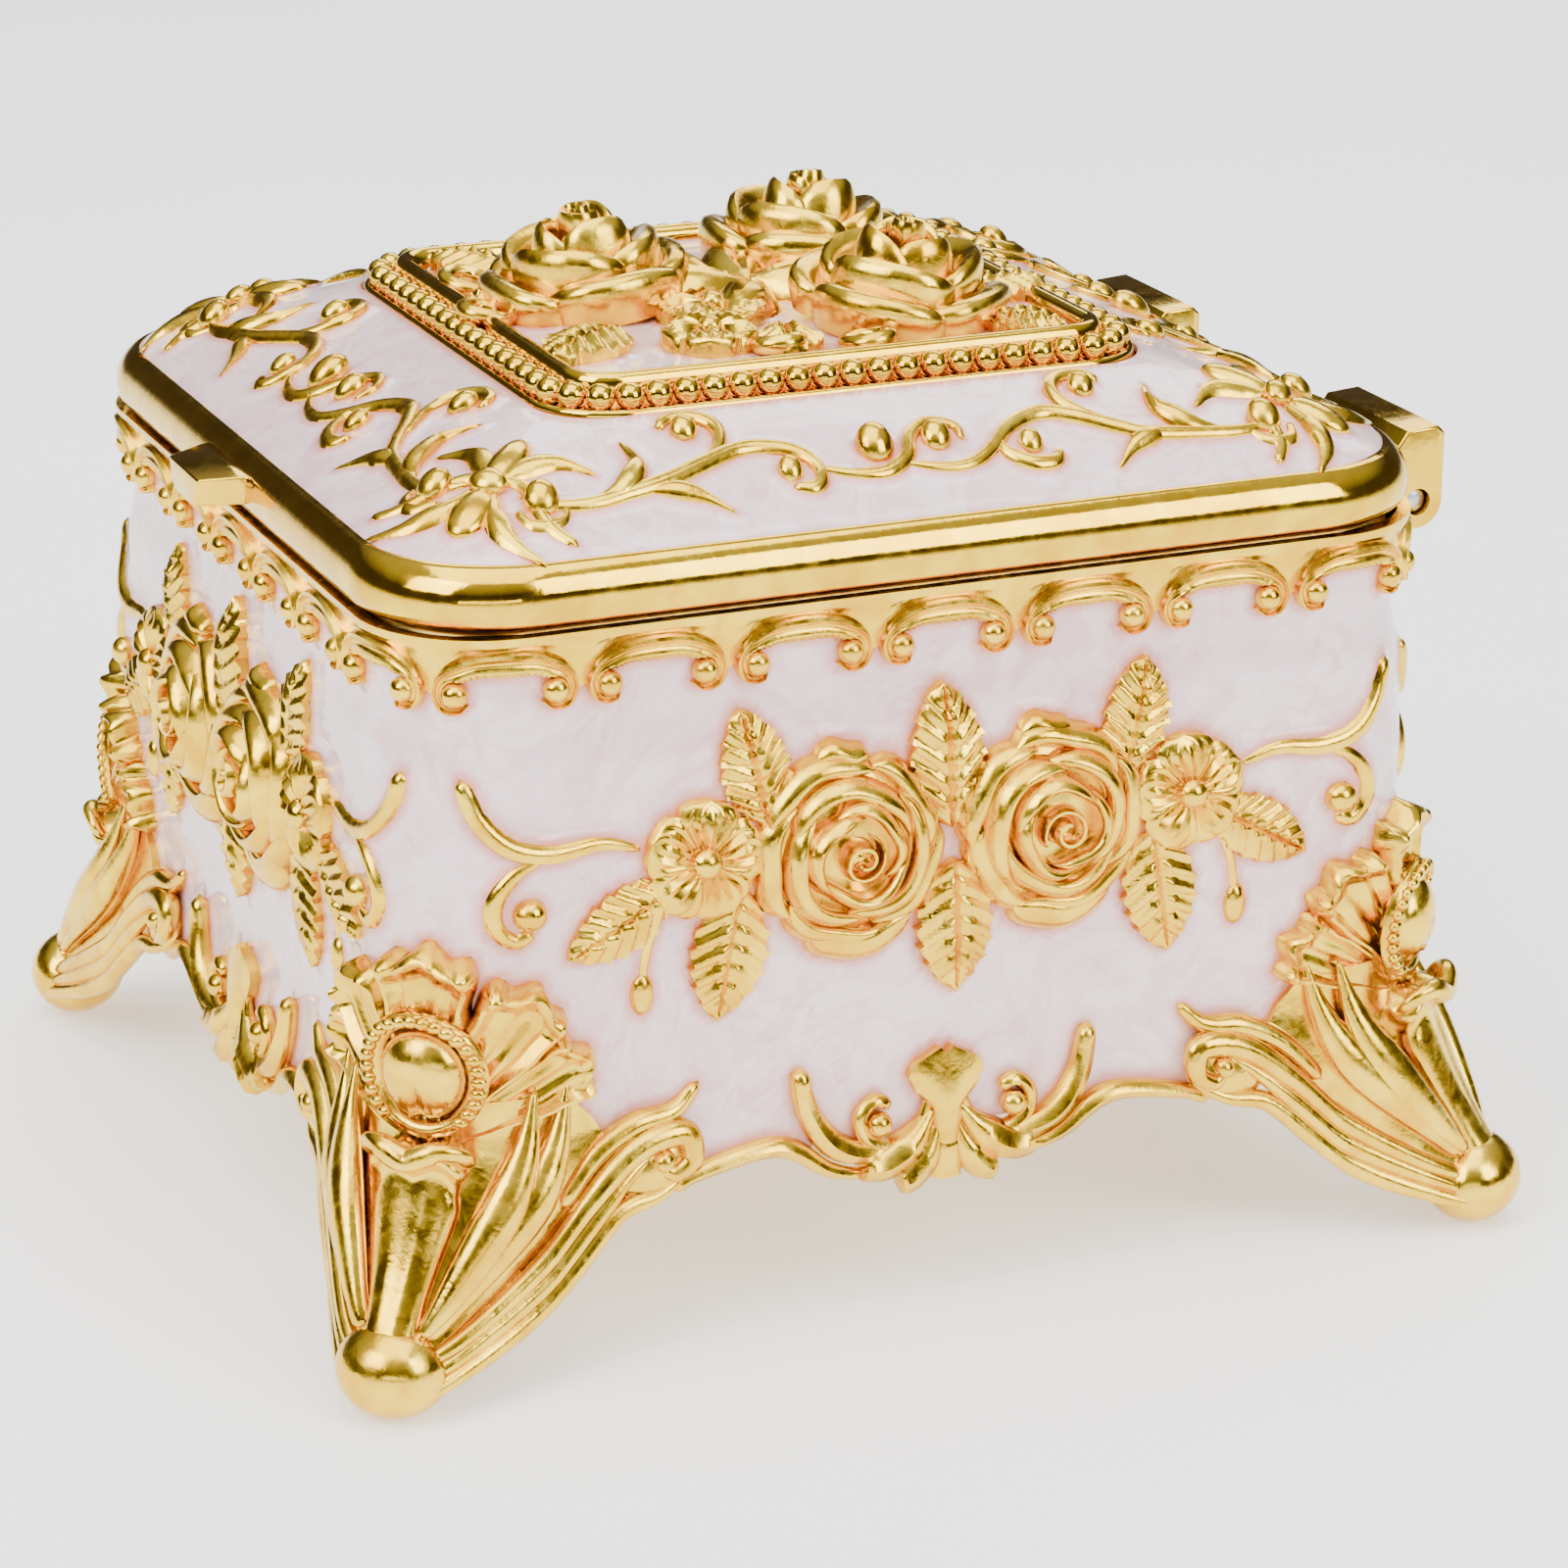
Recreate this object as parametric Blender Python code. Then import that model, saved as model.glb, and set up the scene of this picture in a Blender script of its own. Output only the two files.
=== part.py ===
"""Footed trinket box with a hinged, domed lid: a cast and gilded body with enamel panels.

The box stands on the plane z = 0 with its middle over the origin. The front faces -Y, the hinge is at +Y.
Sizes below are in millimetres and MM turns them into metres.
"""

import math

import bmesh
import bpy
from mathutils import Matrix, Vector

MM = 0.001
GAP = 0.3  # clearance left between two pieces that touch

# Driving dimensions of the body
HALF_X = 39.2  # half width of the enamelled wall
HALF_Y = 41.6  # half depth of the enamelled wall
CORNER = 9.2  # plan radius of the vertical corners
CORNER_STEPS = 6
BODY_BOTTOM = 13.5
BODY_TOP = 56.6
WALL = 1.6
ENAMEL = 0.5
FLOOR = 1.6
# Height and outward swell of the wall, bottom to top: bellied at the garland, waisted under the gallery
WALL_PROFILE = (
    (BODY_BOTTOM, 0.2), (20.0, -0.2), (28.0, 0.2), (38.0, 0.5), (45.0, -0.1), (50.0, -0.8), (BODY_TOP, -0.6),
)
ENAMEL_BOTTOM = 14.2
ENAMEL_TOP = 55.4

# Driving dimensions of the lid
LID_BOTTOM = BODY_TOP + GAP
RIM_X = 39.8
RIM_Y = 42.2
RIM_TOP = 61.6
RIM_INSET = 1.6
RIM_CORNER = 11.0
FRAME_HALF = 23.4  # bead row, half side
FRAME_CORNER = 5.0
FRAME_FOOT = 67.4  # top of the sloping border under the bead frame
PANEL_TOP = 68.6
LID_WALL = 1.5

# Hinge
HINGE_Y = 46.0
HINGE_Z = 54.2
PIN_RADIUS = 1.0
BORE_RADIUS = PIN_RADIUS + 0.08
PIN_FACETS = 24
KNUCKLE_RADIUS = 2.2
ARM_INNER = 12.6
ARM_OUTER = 27.0
ARM_TOP = 60.2
PIN_RECESS = 0.5  # end of the pin inside the arm's outer face

# Feet
TOE = Vector((3.8, 3.9, 3.7))  # half sizes of the rolled toe: out along the diagonal, across, up
TOE_Z = 3.5
TOE_OUT = 17.2  # toe centre from the centre of the corner arc, along the diagonal
CUP = Vector((1.5, 3.7, 4.3))
CUP_Z = 24.0
KNOB = Vector((2.6, 3.4, 2.0))
KNOB_Z = 18.4
SHIN = Vector((1.9, 2.7, 7.4))
SHIN_LEAN = 30  # degrees the shin leans out towards the toe

CORNERS = ((1, 1), (-1, 1), (-1, -1), (1, -1))  # signs of x and y, anticlockwise from the rear right
CORNER_NAMES = ("rear_right", "rear_left", "front_left", "front_right")
FACE_NAMES = ("right", "rear", "left", "front")

GOLD = ("gold_plate", (0.90, 0.66, 0.26), 0.22, 1.0)
PEARL = ("pearl_enamel", (0.87, 0.79, 0.81), 0.25, 0.0)
STEEL = ("pin_steel", (0.62, 0.62, 0.64), 0.35, 1.0)
VELVET = ("lining_velvet", (0.45, 0.06, 0.12), 0.9, 0.0)


def clear_scene():
    for thing in list(bpy.data.objects):
        bpy.data.objects.remove(thing)


def material(finish):
    name, colour, roughness, metallic = finish
    found = bpy.data.materials.get(name)
    if found:
        return found
    made = bpy.data.materials.new(name)
    made.use_nodes = True
    shader = made.node_tree.nodes["Principled BSDF"]
    shader.inputs["Base Color"].default_value = (*colour, 1.0)
    shader.inputs["Roughness"].default_value = roughness
    shader.inputs["Metallic"].default_value = metallic
    made.diffuse_color = (*colour, 1.0)
    return made


def add_object(name, mesh, finish, smooth=True):
    """Links an object for the mesh, which is in millimetres until here."""
    obj = bpy.data.objects.new(name, mesh)
    bpy.context.scene.collection.objects.link(obj)
    if not mesh.materials:
        mesh.materials.append(material(finish))
    if smooth:
        mesh.shade_smooth()
        mesh.set_sharp_from_angle(angle=math.radians(35))
    return obj


def mesh_from(bm, name):
    bmesh.ops.recalc_face_normals(bm, faces=bm.faces)
    bmesh.ops.scale(bm, vec=(MM, MM, MM), verts=bm.verts)
    mesh = bpy.data.meshes.new(name)
    bm.to_mesh(mesh)
    bm.free()
    return mesh


def swell(z):
    """Outward swell of the wall at height z."""
    if z <= WALL_PROFILE[0][0]:
        return WALL_PROFILE[0][1]
    for (z0, s0), (z1, s1) in zip(WALL_PROFILE, WALL_PROFILE[1:]):
        if z <= z1:
            return s0 + (s1 - s0) * (z - z0) / (z1 - z0)
    return WALL_PROFILE[-1][1]


def rounded_ring(half_x, half_y, radius, z):
    """Points of a rectangle with round corners, anticlockwise."""
    points = []
    for k, (sx, sy) in enumerate(CORNERS):
        for i in range(CORNER_STEPS + 1):
            turn = math.radians(90) * (k + i / CORNER_STEPS)
            x = sx * (half_x - radius) + radius * math.cos(turn)
            y = sy * (half_y - radius) + radius * math.sin(turn)
            points.append((x, y, z))
    return points


def skin_rings(bm, rings, closed=False):
    """Joins rings of equal count one to the next. Caps both ends, or joins the last ring to the first."""
    loops = [[bm.verts.new(p) for p in ring] for ring in rings]
    pairs = list(zip(loops, loops[1:]))
    if closed:
        pairs.append((loops[-1], loops[0]))
    for low, high in pairs:
        for i, start in enumerate(low):
            j = (i + 1) % len(low)
            bm.faces.new((start, low[j], high[j], high[i]))
    if not closed:
        bm.faces.new(loops[0])
        bm.faces.new(loops[-1])
    return bm


def wall_ring(out, z, inner=0.0):
    """Ring on the wall at height z, moved out from the enamel surface by out."""
    shift = swell(z) + out - inner
    return rounded_ring(HALF_X + shift, HALF_Y + shift, CORNER + shift, z)


def body_shell():
    """Cast tub: outer wall up, over the mouth, inner wall down to the floor."""
    metal = -ENAMEL - GAP
    heights = [z for z, _ in WALL_PROFILE]
    outer = [wall_ring(metal, z) for z in heights]
    inside = [wall_ring(metal - WALL, z) for z in reversed(heights[1:])]
    floor = wall_ring(metal - WALL, BODY_BOTTOM + FLOOR)
    bm = skin_rings(bmesh.new(), outer + inside + [floor])
    return add_object("body_shell", mesh_from(bm, "body_shell"), GOLD)


def body_enamel():
    """Enamel skin round the wall, a closed band."""
    heights = [ENAMEL_BOTTOM] + [z for z, _ in WALL_PROFILE[1:-1]] + [ENAMEL_TOP]
    outer = [wall_ring(0.0, z) for z in heights]
    inner = [wall_ring(-ENAMEL, z) for z in reversed(heights)]
    bm = skin_rings(bmesh.new(), outer + inner, closed=True)
    return add_object("body_enamel", mesh_from(bm, "body_enamel"), PEARL)


def slab(name, half_x, half_y, radius, z0, z1, finish):
    bm = skin_rings(bmesh.new(), [rounded_ring(half_x, half_y, radius, z) for z in (z0, z1)])
    return add_object(name, mesh_from(bm, name), finish)


def union(name, pieces, finish):
    """One body from overlapping pieces: the first is the base, the rest are united with it."""
    base, *others = pieces
    helpers = bpy.data.collections.new(name + "_pieces")
    bpy.context.scene.collection.children.link(helpers)
    for piece in others:
        bpy.context.scene.collection.objects.unlink(piece)
        helpers.objects.link(piece)
        piece.hide_render = True
        piece.display_type = "WIRE"
    join = base.modifiers.new("union", "BOOLEAN")
    join.operation = "UNION"
    join.operand_type = "COLLECTION"
    join.collection = helpers
    join.solver = "EXACT"
    base.name = name
    return base


def realise(obj, name):
    """The evaluated mesh of obj as a plain mesh, so that copies can share it."""
    bpy.context.view_layer.update()
    graph = bpy.context.evaluated_depsgraph_get()
    mesh = bpy.data.meshes.new_from_object(obj.evaluated_get(graph))
    mesh.name = name
    for modifier in list(obj.modifiers):
        if modifier.type == "BOOLEAN" and modifier.collection:
            helpers = modifier.collection
            for piece in list(helpers.objects):
                bpy.data.objects.remove(piece)
            bpy.data.collections.remove(helpers)
    bpy.data.objects.remove(obj)
    return mesh


def turned(profile, steps, centre, axis="X"):
    """Solid of revolution about an axis through centre. Profile pairs are (radius, height along the axis)."""
    bm = bmesh.new()
    verts = [bm.verts.new((r, 0, h)) for r, h in profile]
    edges = [bm.edges.new(pair) for pair in zip(verts, verts[1:])]
    bmesh.ops.spin(
        bm, geom=verts + edges, cent=(0, 0, 0), axis=(0, 0, 1), angle=math.tau, steps=steps, use_merge=True,
    )
    bmesh.ops.remove_doubles(bm, verts=bm.verts, dist=0.001)
    if axis == "X":
        bmesh.ops.rotate(bm, cent=(0, 0, 0), matrix=Matrix.Rotation(math.radians(90), 3, "Y"), verts=bm.verts)
    bmesh.ops.translate(bm, vec=centre, verts=bm.verts)
    return bm


def ellipsoid(sizes, centre, segments=12, rings=8):
    bm = bmesh.new()
    bmesh.ops.create_uvsphere(bm, u_segments=segments, v_segments=rings, radius=1.0)
    bmesh.ops.scale(bm, vec=sizes, verts=bm.verts)
    bmesh.ops.translate(bm, vec=centre, verts=bm.verts)
    return bm


def leaf_solid(length, width, turn, centre, thick):
    """Pointed leaf lying on a wall: x is out of the wall, y along it, z up. turn is from +y towards +z."""
    outline = ((0, 0.25), (0.3, 0.95), (0.6, 0.85), (1.0, 0.0))
    side = [(u * length, v * width / 2) for u, v in outline]
    points = side + [(u, -v) for u, v in reversed(side[:-1])]
    bm = bmesh.new()
    face = bm.faces.new([bm.verts.new((0, u, v)) for u, v in points])
    grown = bmesh.ops.extrude_face_region(bm, geom=[face])["geom"]
    top = [g for g in grown if isinstance(g, bmesh.types.BMVert)]
    bmesh.ops.translate(bm, vec=(thick, 0, 0), verts=top)
    bmesh.ops.rotate(bm, cent=(0, 0, 0), matrix=Matrix.Rotation(turn, 3, "X"), verts=bm.verts)
    bmesh.ops.translate(bm, vec=centre, verts=bm.verts)
    return bm


def piece(bm, name="piece"):
    return add_object(name, mesh_from(bm, name), GOLD)


ROSE_PROFILE = ((8.2, 0.0), (8.2, 1.4), (7.2, 2.3), (6.5, 1.9), (5.2, 3.1), (4.4, 2.7), (2.4, 3.8), (0.0, 3.2))
FLOWER_PROFILE = ((4.3, 0.0), (4.3, 0.8), (2.4, 1.1), (1.4, 1.9), (0.0, 2.2))
GARLAND_STANDOFF = 0.9  # back of the relief from the nominal wall, clear of its belly
ROSE_SPREAD = 8.7
ROSE_Z = 37.0
FLOWER_SPREAD = 20.4
# Leaves of half a garland: along the wall, height, direction in degrees, length, width
GARLAND_LEAVES = (
    (13.0, 40.0, 62, 8.5, 4.6),
    (16.5, 34.5, -68, 9.0, 5.2),
    (22.0, 36.5, -28, 8.5, 4.4),
)


def solid_profile(profile):
    """Profile closed down to the axis at its foot."""
    return ((0.0, profile[0][1]),) + tuple(profile)


def garland_mesh():
    """Two roses, two small flowers and their leaves, on a wall whose plane is x = 0."""
    x = GARLAND_STANDOFF
    made = [piece(turned(solid_profile(ROSE_PROFILE), 16, (x, ROSE_SPREAD, ROSE_Z)))]
    made.append(piece(turned(solid_profile(ROSE_PROFILE), 16, (x + 0.01, -ROSE_SPREAD, ROSE_Z))))
    made.append(piece(leaf_solid(13.0, 5.2, math.radians(90), (x + 0.02, 0.02, 36.0), 1.6)))
    made.append(piece(leaf_solid(13.0, 5.0, math.radians(-90), (x + 0.03, 0.03, 38.0), 1.5)))
    for side in (1, -1):
        made.append(piece(turned(solid_profile(FLOWER_PROFILE), 10, (x + 0.04, side * FLOWER_SPREAD, 38.4))))
        for y, z, degrees, length, width in GARLAND_LEAVES:
            turn = math.radians(degrees if side > 0 else 180 - degrees)
            made.append(piece(leaf_solid(length, width, turn, (x + 0.05, side * y, z), 1.2)))
    return realise(union("garland", made, GOLD), "garland")


def palmette_mesh():
    """Drooping shell at the middle of a bottom edge with a moulding to each side, on the plane x = 0."""
    x = 0.7
    half = ((0.0, 16.8), (1.8, 17.0), (3.4, 15.2), (6.2, 16.2), (6.4, 13.8), (10.6, 16.6), (12.4, 15.2), (17.6, 14.2),
            (17.6, 12.9), (12.2, 12.8), (8.6, 10.6), (5.2, 9.4), (2.2, 8.8), (0.0, 8.4))
    outline = list(half) + [(-y, z) for y, z in reversed(half[1:-1])]
    bm = bmesh.new()
    face = bm.faces.new([bm.verts.new((x, y, z)) for y, z in outline])
    grown = bmesh.ops.extrude_face_region(bm, geom=[face])["geom"]
    top = [g for g in grown if isinstance(g, bmesh.types.BMVert)]
    bmesh.ops.translate(bm, vec=(2.0, 0, 0), verts=top)
    return mesh_from(bm, "palmette")


def corner_point(along, out, z):
    """Point beside a corner of the body: x runs out along the diagonal and y across it.

    along is the distance round the corner from its middle, out the distance from the wall.
    """
    reach = CORNER + swell(z) + out
    bend = CORNER * math.pi / 4
    if abs(along) <= bend:
        turn = along / CORNER
        return Vector((reach * math.cos(turn), reach * math.sin(turn), z))
    past = abs(along) - bend
    x = reach * math.cos(math.pi / 4) - past * math.sin(math.pi / 4)
    y = reach * math.sin(math.pi / 4) + past * math.cos(math.pi / 4)
    return Vector((x, math.copysign(y, along), z))


# Fan and leg of a foot, top to bottom: height, half width round the corner, back and front of the solid from the wall
FOOT_SECTIONS = (
    (35.2, 2.0, 0.7, 1.4),
    (33.4, 6.4, 0.7, 2.0),
    (30.0, 9.4, 0.7, 2.6),
    (26.0, 11.6, 0.7, 2.9),
    (21.0, 11.2, 0.7, 3.2),
    (17.0, 9.4, 0.7, 3.8),
    (13.0, 5.8, 0.9, 4.4),
    (9.0, 3.6, 2.0, 5.8),
    (6.0, 2.5, 3.8, 7.6),
    (3.0, 2.0, 6.0, 8.8),
)
FOOT_SIDE = 7  # points across each face of a section


def foot_mesh():
    """Corner foot: a shell-shaped fan that wraps the corner, an S-shaped leg and a rolled toe."""
    rings = []
    for z, half, back, front in FOOT_SECTIONS:
        steps = [2 * i / (FOOT_SIDE - 1) - 1 for i in range(FOOT_SIDE)]
        face = [corner_point(half * t, front, z) for t in steps]
        rear = [corner_point(half * t, back, z) for t in reversed(steps)]
        rings.append(face + rear)
    leg = piece(skin_rings(bmesh.new(), rings))
    toe_bm = ellipsoid(TOE, (TOE_OUT, 0, TOE_Z), 12, 8)
    everything = toe_bm.verts[:] + toe_bm.edges[:] + toe_bm.faces[:]
    cut = bmesh.ops.bisect_plane(toe_bm, geom=everything, plane_co=(0, 0, 0), plane_no=(0, 0, -1), clear_outer=True)
    rim = [g for g in cut["geom_cut"] if isinstance(g, bmesh.types.BMEdge)]
    bmesh.ops.contextual_create(toe_bm, geom=rim)
    toe = piece(toe_bm)
    cup = piece(ellipsoid(CUP, (CORNER + 3.2, 0, CUP_Z), 10, 6))
    knob = piece(ellipsoid(KNOB, (CORNER + 4.2, 0, KNOB_Z), 10, 6))
    shin_bm = ellipsoid(SHIN, (0, 0, 0), 8, 6)
    lean = Matrix.Rotation(math.radians(-SHIN_LEAN), 3, "Y")
    bmesh.ops.rotate(shin_bm, matrix=lean, verts=shin_bm.verts)
    bmesh.ops.translate(shin_bm, vec=(CORNER + 5.4, 0, 10.6), verts=shin_bm.verts)
    shin = piece(shin_bm)
    return realise(union("foot", [leg, toe, cup, knob, shin], GOLD), "foot")


def tube(name, points, radius, finish=GOLD, sides=1):
    """Round rod through points, as a smooth curve with filled ends."""
    curve = bpy.data.curves.new(name, "CURVE")
    curve.dimensions = "3D"
    curve.bevel_depth = radius * MM
    curve.bevel_resolution = sides
    curve.use_fill_caps = True
    curve.resolution_u = 2
    spline = curve.splines.new("POLY")
    spline.points.add(len(points) - 1)
    for target, p in zip(spline.points, points):
        target.co = (p[0] * MM, p[1] * MM, p[2] * MM, 1)
    obj = bpy.data.objects.new(name, curve)
    bpy.context.scene.collection.objects.link(obj)
    curve.materials.append(material(finish))
    return obj


def smooth_path(points, per_span=3):
    """Catmull-Rom curve through the points."""
    ends = [points[0]] + list(points) + [points[-1]]
    path = []
    for p0, p1, p2, p3 in zip(ends, ends[1:], ends[2:], ends[3:]):
        for i in range(per_span):
            t = i / per_span
            path.append(tuple(
                0.5 * (2 * b + (c - a) * t + (2 * a - 5 * b + 4 * c - d) * t * t + (3 * b - a - 3 * c + d) * t**3)
                for a, b, c, d in zip(p0, p1, p2, p3)
            ))
    path.append(tuple(points[-1]))
    return path


# Tendril between a garland's flower and the corner: distance back from the corner's middle, height
WALL_TENDRIL = ((11.2, 40.2), (8.4, 40.2), (5.4, 42.0), (2.2, 45.2))
SCROLL_RADIUS = 0.7


def wall_tendril(name, corner, side):
    """Tendril on the wall to one side of a corner. corner is its number, side +1 is anticlockwise of it."""
    path = smooth_path(WALL_TENDRIL)
    points = [corner_point(side * along, 1.3, z) for along, z in path]
    rod = tube(name, points, SCROLL_RADIUS)
    place_at_corner(rod, corner)
    return rod


def place_at_corner(obj, corner):
    """Corners run anticlockwise from +X +Y."""
    sx, sy = CORNERS[corner]
    obj.location = (sx * (HALF_X - CORNER) * MM, sy * (HALF_Y - CORNER) * MM, 0)
    obj.rotation_euler = (0, 0, math.radians(45 + 90 * corner))


def place_on_face(obj, face):
    """Faces run anticlockwise from +X: right, rear, left, front."""
    half = HALF_X if face % 2 == 0 else HALF_Y
    turn = math.radians(90 * face)
    obj.location = (half * MM * math.cos(turn), half * MM * math.sin(turn), 0)
    obj.rotation_euler = (0, 0, turn)


ARCHES_PER_SIDE = 7
GALLERY_HEIGHT = 1.9
PENDANT = Vector((0.8, 2.3, 1.7))
PENDANT_OUT = 0.5
PENDANT_Z = BODY_TOP - 3.0


def gallery():
    """Collar under the lid with a pendant where two arches meet."""
    top, low = BODY_TOP - 0.1, BODY_TOP - GALLERY_HEIGHT
    rings = [wall_ring(GAP, low), wall_ring(1.3, low), wall_ring(1.0, top), wall_ring(GAP, top)]
    made = [piece(skin_rings(bmesh.new(), rings, closed=True))]
    for face in range(4):
        half = HALF_X if face % 2 == 0 else HALF_Y
        deep = HALF_Y if face % 2 == 0 else HALF_X
        pitch = 2 * (deep - CORNER + CORNER * math.pi / 4) / ARCHES_PER_SIDE
        turn = Matrix.Rotation(math.radians(90 * face), 4, "Z")
        for i in range(ARCHES_PER_SIDE):
            bm = ellipsoid(PENDANT, (0, 0, 0), 8, 4)
            place = Vector((half + PENDANT_OUT, (i - ARCHES_PER_SIDE / 2) * pitch, PENDANT_Z))
            if i == 0:
                bend = (CORNER + PENDANT_OUT) * math.cos(math.pi / 4)
                place = Vector((half - CORNER + bend, CORNER - deep - bend, PENDANT_Z))
                bmesh.ops.rotate(bm, matrix=Matrix.Rotation(math.radians(-45), 3, "Z"), verts=bm.verts)
            bmesh.ops.translate(bm, vec=place, verts=bm.verts)
            bmesh.ops.transform(bm, matrix=turn, verts=bm.verts)
            made.append(piece(bm))
    return union("scallop_gallery", made, GOLD)


def lid_ring(half_x, half_y, radius, z):
    return rounded_ring(half_x, half_y, radius, z)


def border_ring(share, lift):
    """Ring on the sloping border of the lid: share 0 at the rim, 1 at the bead frame. The slope is slightly domed."""
    half_x = RIM_X - RIM_INSET + (FRAME_HALF + 3.0 - (RIM_X - RIM_INSET)) * share
    half_y = RIM_Y - RIM_INSET + (FRAME_HALF + 3.0 - (RIM_Y - RIM_INSET)) * share
    radius = RIM_CORNER - RIM_INSET + (FRAME_CORNER + 1.5 - (RIM_CORNER - RIM_INSET)) * share
    dome = 0.5 * math.sin(math.pi * share)
    z = RIM_TOP - 0.4 + (FRAME_FOOT - RIM_TOP + 0.4) * share + dome + lift
    return rounded_ring(half_x, half_y, radius, z)


def lid_shell():
    """Cast lid: rim band, sloping border and raised panel, hollow beneath."""
    metal = -ENAMEL - GAP
    outer = [
        lid_ring(RIM_X - 0.6, RIM_Y - 0.6, RIM_CORNER, LID_BOTTOM),
        lid_ring(RIM_X, RIM_Y, RIM_CORNER, LID_BOTTOM + 1.0),
        lid_ring(RIM_X, RIM_Y, RIM_CORNER, RIM_TOP - 1.2),
        lid_ring(RIM_X - 0.9, RIM_Y - 0.9, RIM_CORNER, RIM_TOP),
        border_ring(0.0, metal),
        border_ring(0.5, metal),
        border_ring(1.0, metal),
        lid_ring(FRAME_HALF - 3.0, FRAME_HALF - 3.0, FRAME_CORNER, PANEL_TOP + metal),
    ]
    inner = [
        lid_ring(RIM_X - 2.4, RIM_Y - 2.4, RIM_CORNER, LID_BOTTOM),
        lid_ring(RIM_X - 2.4, RIM_Y - 2.4, RIM_CORNER, LID_BOTTOM + 2.0),
        border_ring(0.5, metal - LID_WALL - 0.6),
        lid_ring(FRAME_HALF, FRAME_HALF, FRAME_CORNER, PANEL_TOP - LID_WALL - 1.6),
    ]
    bm = skin_rings(bmesh.new(), list(reversed(inner)) + outer)
    return add_object("lid_shell", mesh_from(bm, "lid_shell"), GOLD)


def lid_border_enamel():
    """Enamel on the sloping border, a closed band."""
    top = [border_ring(s, 0.0) for s in (0.03, 0.35, 0.7, 0.97)]
    under = [border_ring(s, -ENAMEL) for s in (0.97, 0.7, 0.35, 0.03)]
    bm = skin_rings(bmesh.new(), top + under, closed=True)
    return add_object("lid_border_enamel", mesh_from(bm, "lid_border_enamel"), PEARL)


def bead_frame():
    """Square frame on the lid: a bead row outside a raised moulding."""
    base = FRAME_FOOT + 0.2
    section = (
        (3.0, base), (3.0, base + 0.6), (1.4, base + 1.0), (0.6, base + 1.9), (-0.6, base + 1.9), (-1.2, base + 1.2),
        (-1.8, base + 2.2), (-2.6, base + 2.2), (-3.0, base + 1.4), (-3.0, base + 1.2), (2.4, base),
    )
    rings = [rounded_ring(FRAME_HALF + d, FRAME_HALF + d, FRAME_CORNER + max(0, d), z) for d, z in section[:-1]]
    bm = skin_rings(bmesh.new(), rings, closed=True)
    return add_object("bead_frame", mesh_from(bm, "bead_frame"), GOLD)


LID_ROSE_PROFILE = (
    (7.6, 0.0), (8.2, 1.6), (7.6, 2.6), (7.0, 1.8), (6.2, 4.2), (5.2, 3.4), (4.4, 6.2), (3.2, 5.4), (2.2, 7.6), (0.0, 6.8),
)
LID_ROSES = (("lid_rose_right", 40), ("lid_rose_left", 160), ("lid_rose_front", -80))  # name, bearing in degrees
ROSE_RING = 9.8  # the roses stand on a circle of this radius
ROSE_BED = PANEL_TOP + 1.7


def lid_rose(name, bearing):
    turn = math.radians(bearing)
    centre = (ROSE_RING * math.cos(turn), ROSE_RING * math.sin(turn), ROSE_BED + GAP)
    bm = turned(solid_profile(LID_ROSE_PROFILE), 14, centre, axis="Z")
    return add_object(name, mesh_from(bm, name), GOLD)


def leaf_spray():
    """Star of leaves and buds that the lid roses stand on."""
    points = []
    for i in range(24):
        turn = math.tau * i / 24
        reach = (19.4 if i % 2 == 0 else 15.0) * (1.0 if i % 6 else 0.92)
        points.append((reach * math.cos(turn), reach * math.sin(turn)))
    bm = bmesh.new()
    low = PANEL_TOP + GAP
    face = bm.faces.new([bm.verts.new((x, y, low)) for x, y in points])
    grown = bmesh.ops.extrude_face_region(bm, geom=[face])["geom"]
    top = [g for g in grown if isinstance(g, bmesh.types.BMVert)]
    bmesh.ops.translate(bm, vec=(0, 0, ROSE_BED - low), verts=top)
    return add_object("lid_leaf_spray", mesh_from(bm, "lid_leaf_spray"), GOLD)


# Scroll along half a side of the lid: distance along the side from its middle, share of the border's slope
LID_SCROLL = ((2.0, 0.62), (5.0, 0.72), (8.0, 0.5), (12.0, 0.42), (16.0, 0.5), (20.0, 0.66), (24.4, 0.6))


def border_height(share):
    dome = 0.5 * math.sin(math.pi * share)
    return RIM_TOP - 0.4 + (FRAME_FOOT - RIM_TOP + 0.4) * share + dome


def lid_scroll(name, face, side):
    """Scroll on the sloping border beside the middle of a side."""
    rim = RIM_X if face % 2 == 0 else RIM_Y
    points = []
    for along, share in smooth_path(LID_SCROLL, 2):
        out = rim - RIM_INSET + (FRAME_HALF + 3.0 - rim + RIM_INSET) * (1 - share)
        points.append((out, side * along, border_height(1 - share) + SCROLL_RADIUS + GAP))
    rod = tube(name, points, SCROLL_RADIUS)
    rod.rotation_euler = (0, 0, math.radians(90 * face))
    return rod


KNOT_SHARE = 0.36  # place of a corner knot on the border's slope
KNOT_RADII = (5.2, 3.0)
KNOT_THICK = 1.3
KNOT_POINTS = 12


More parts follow.
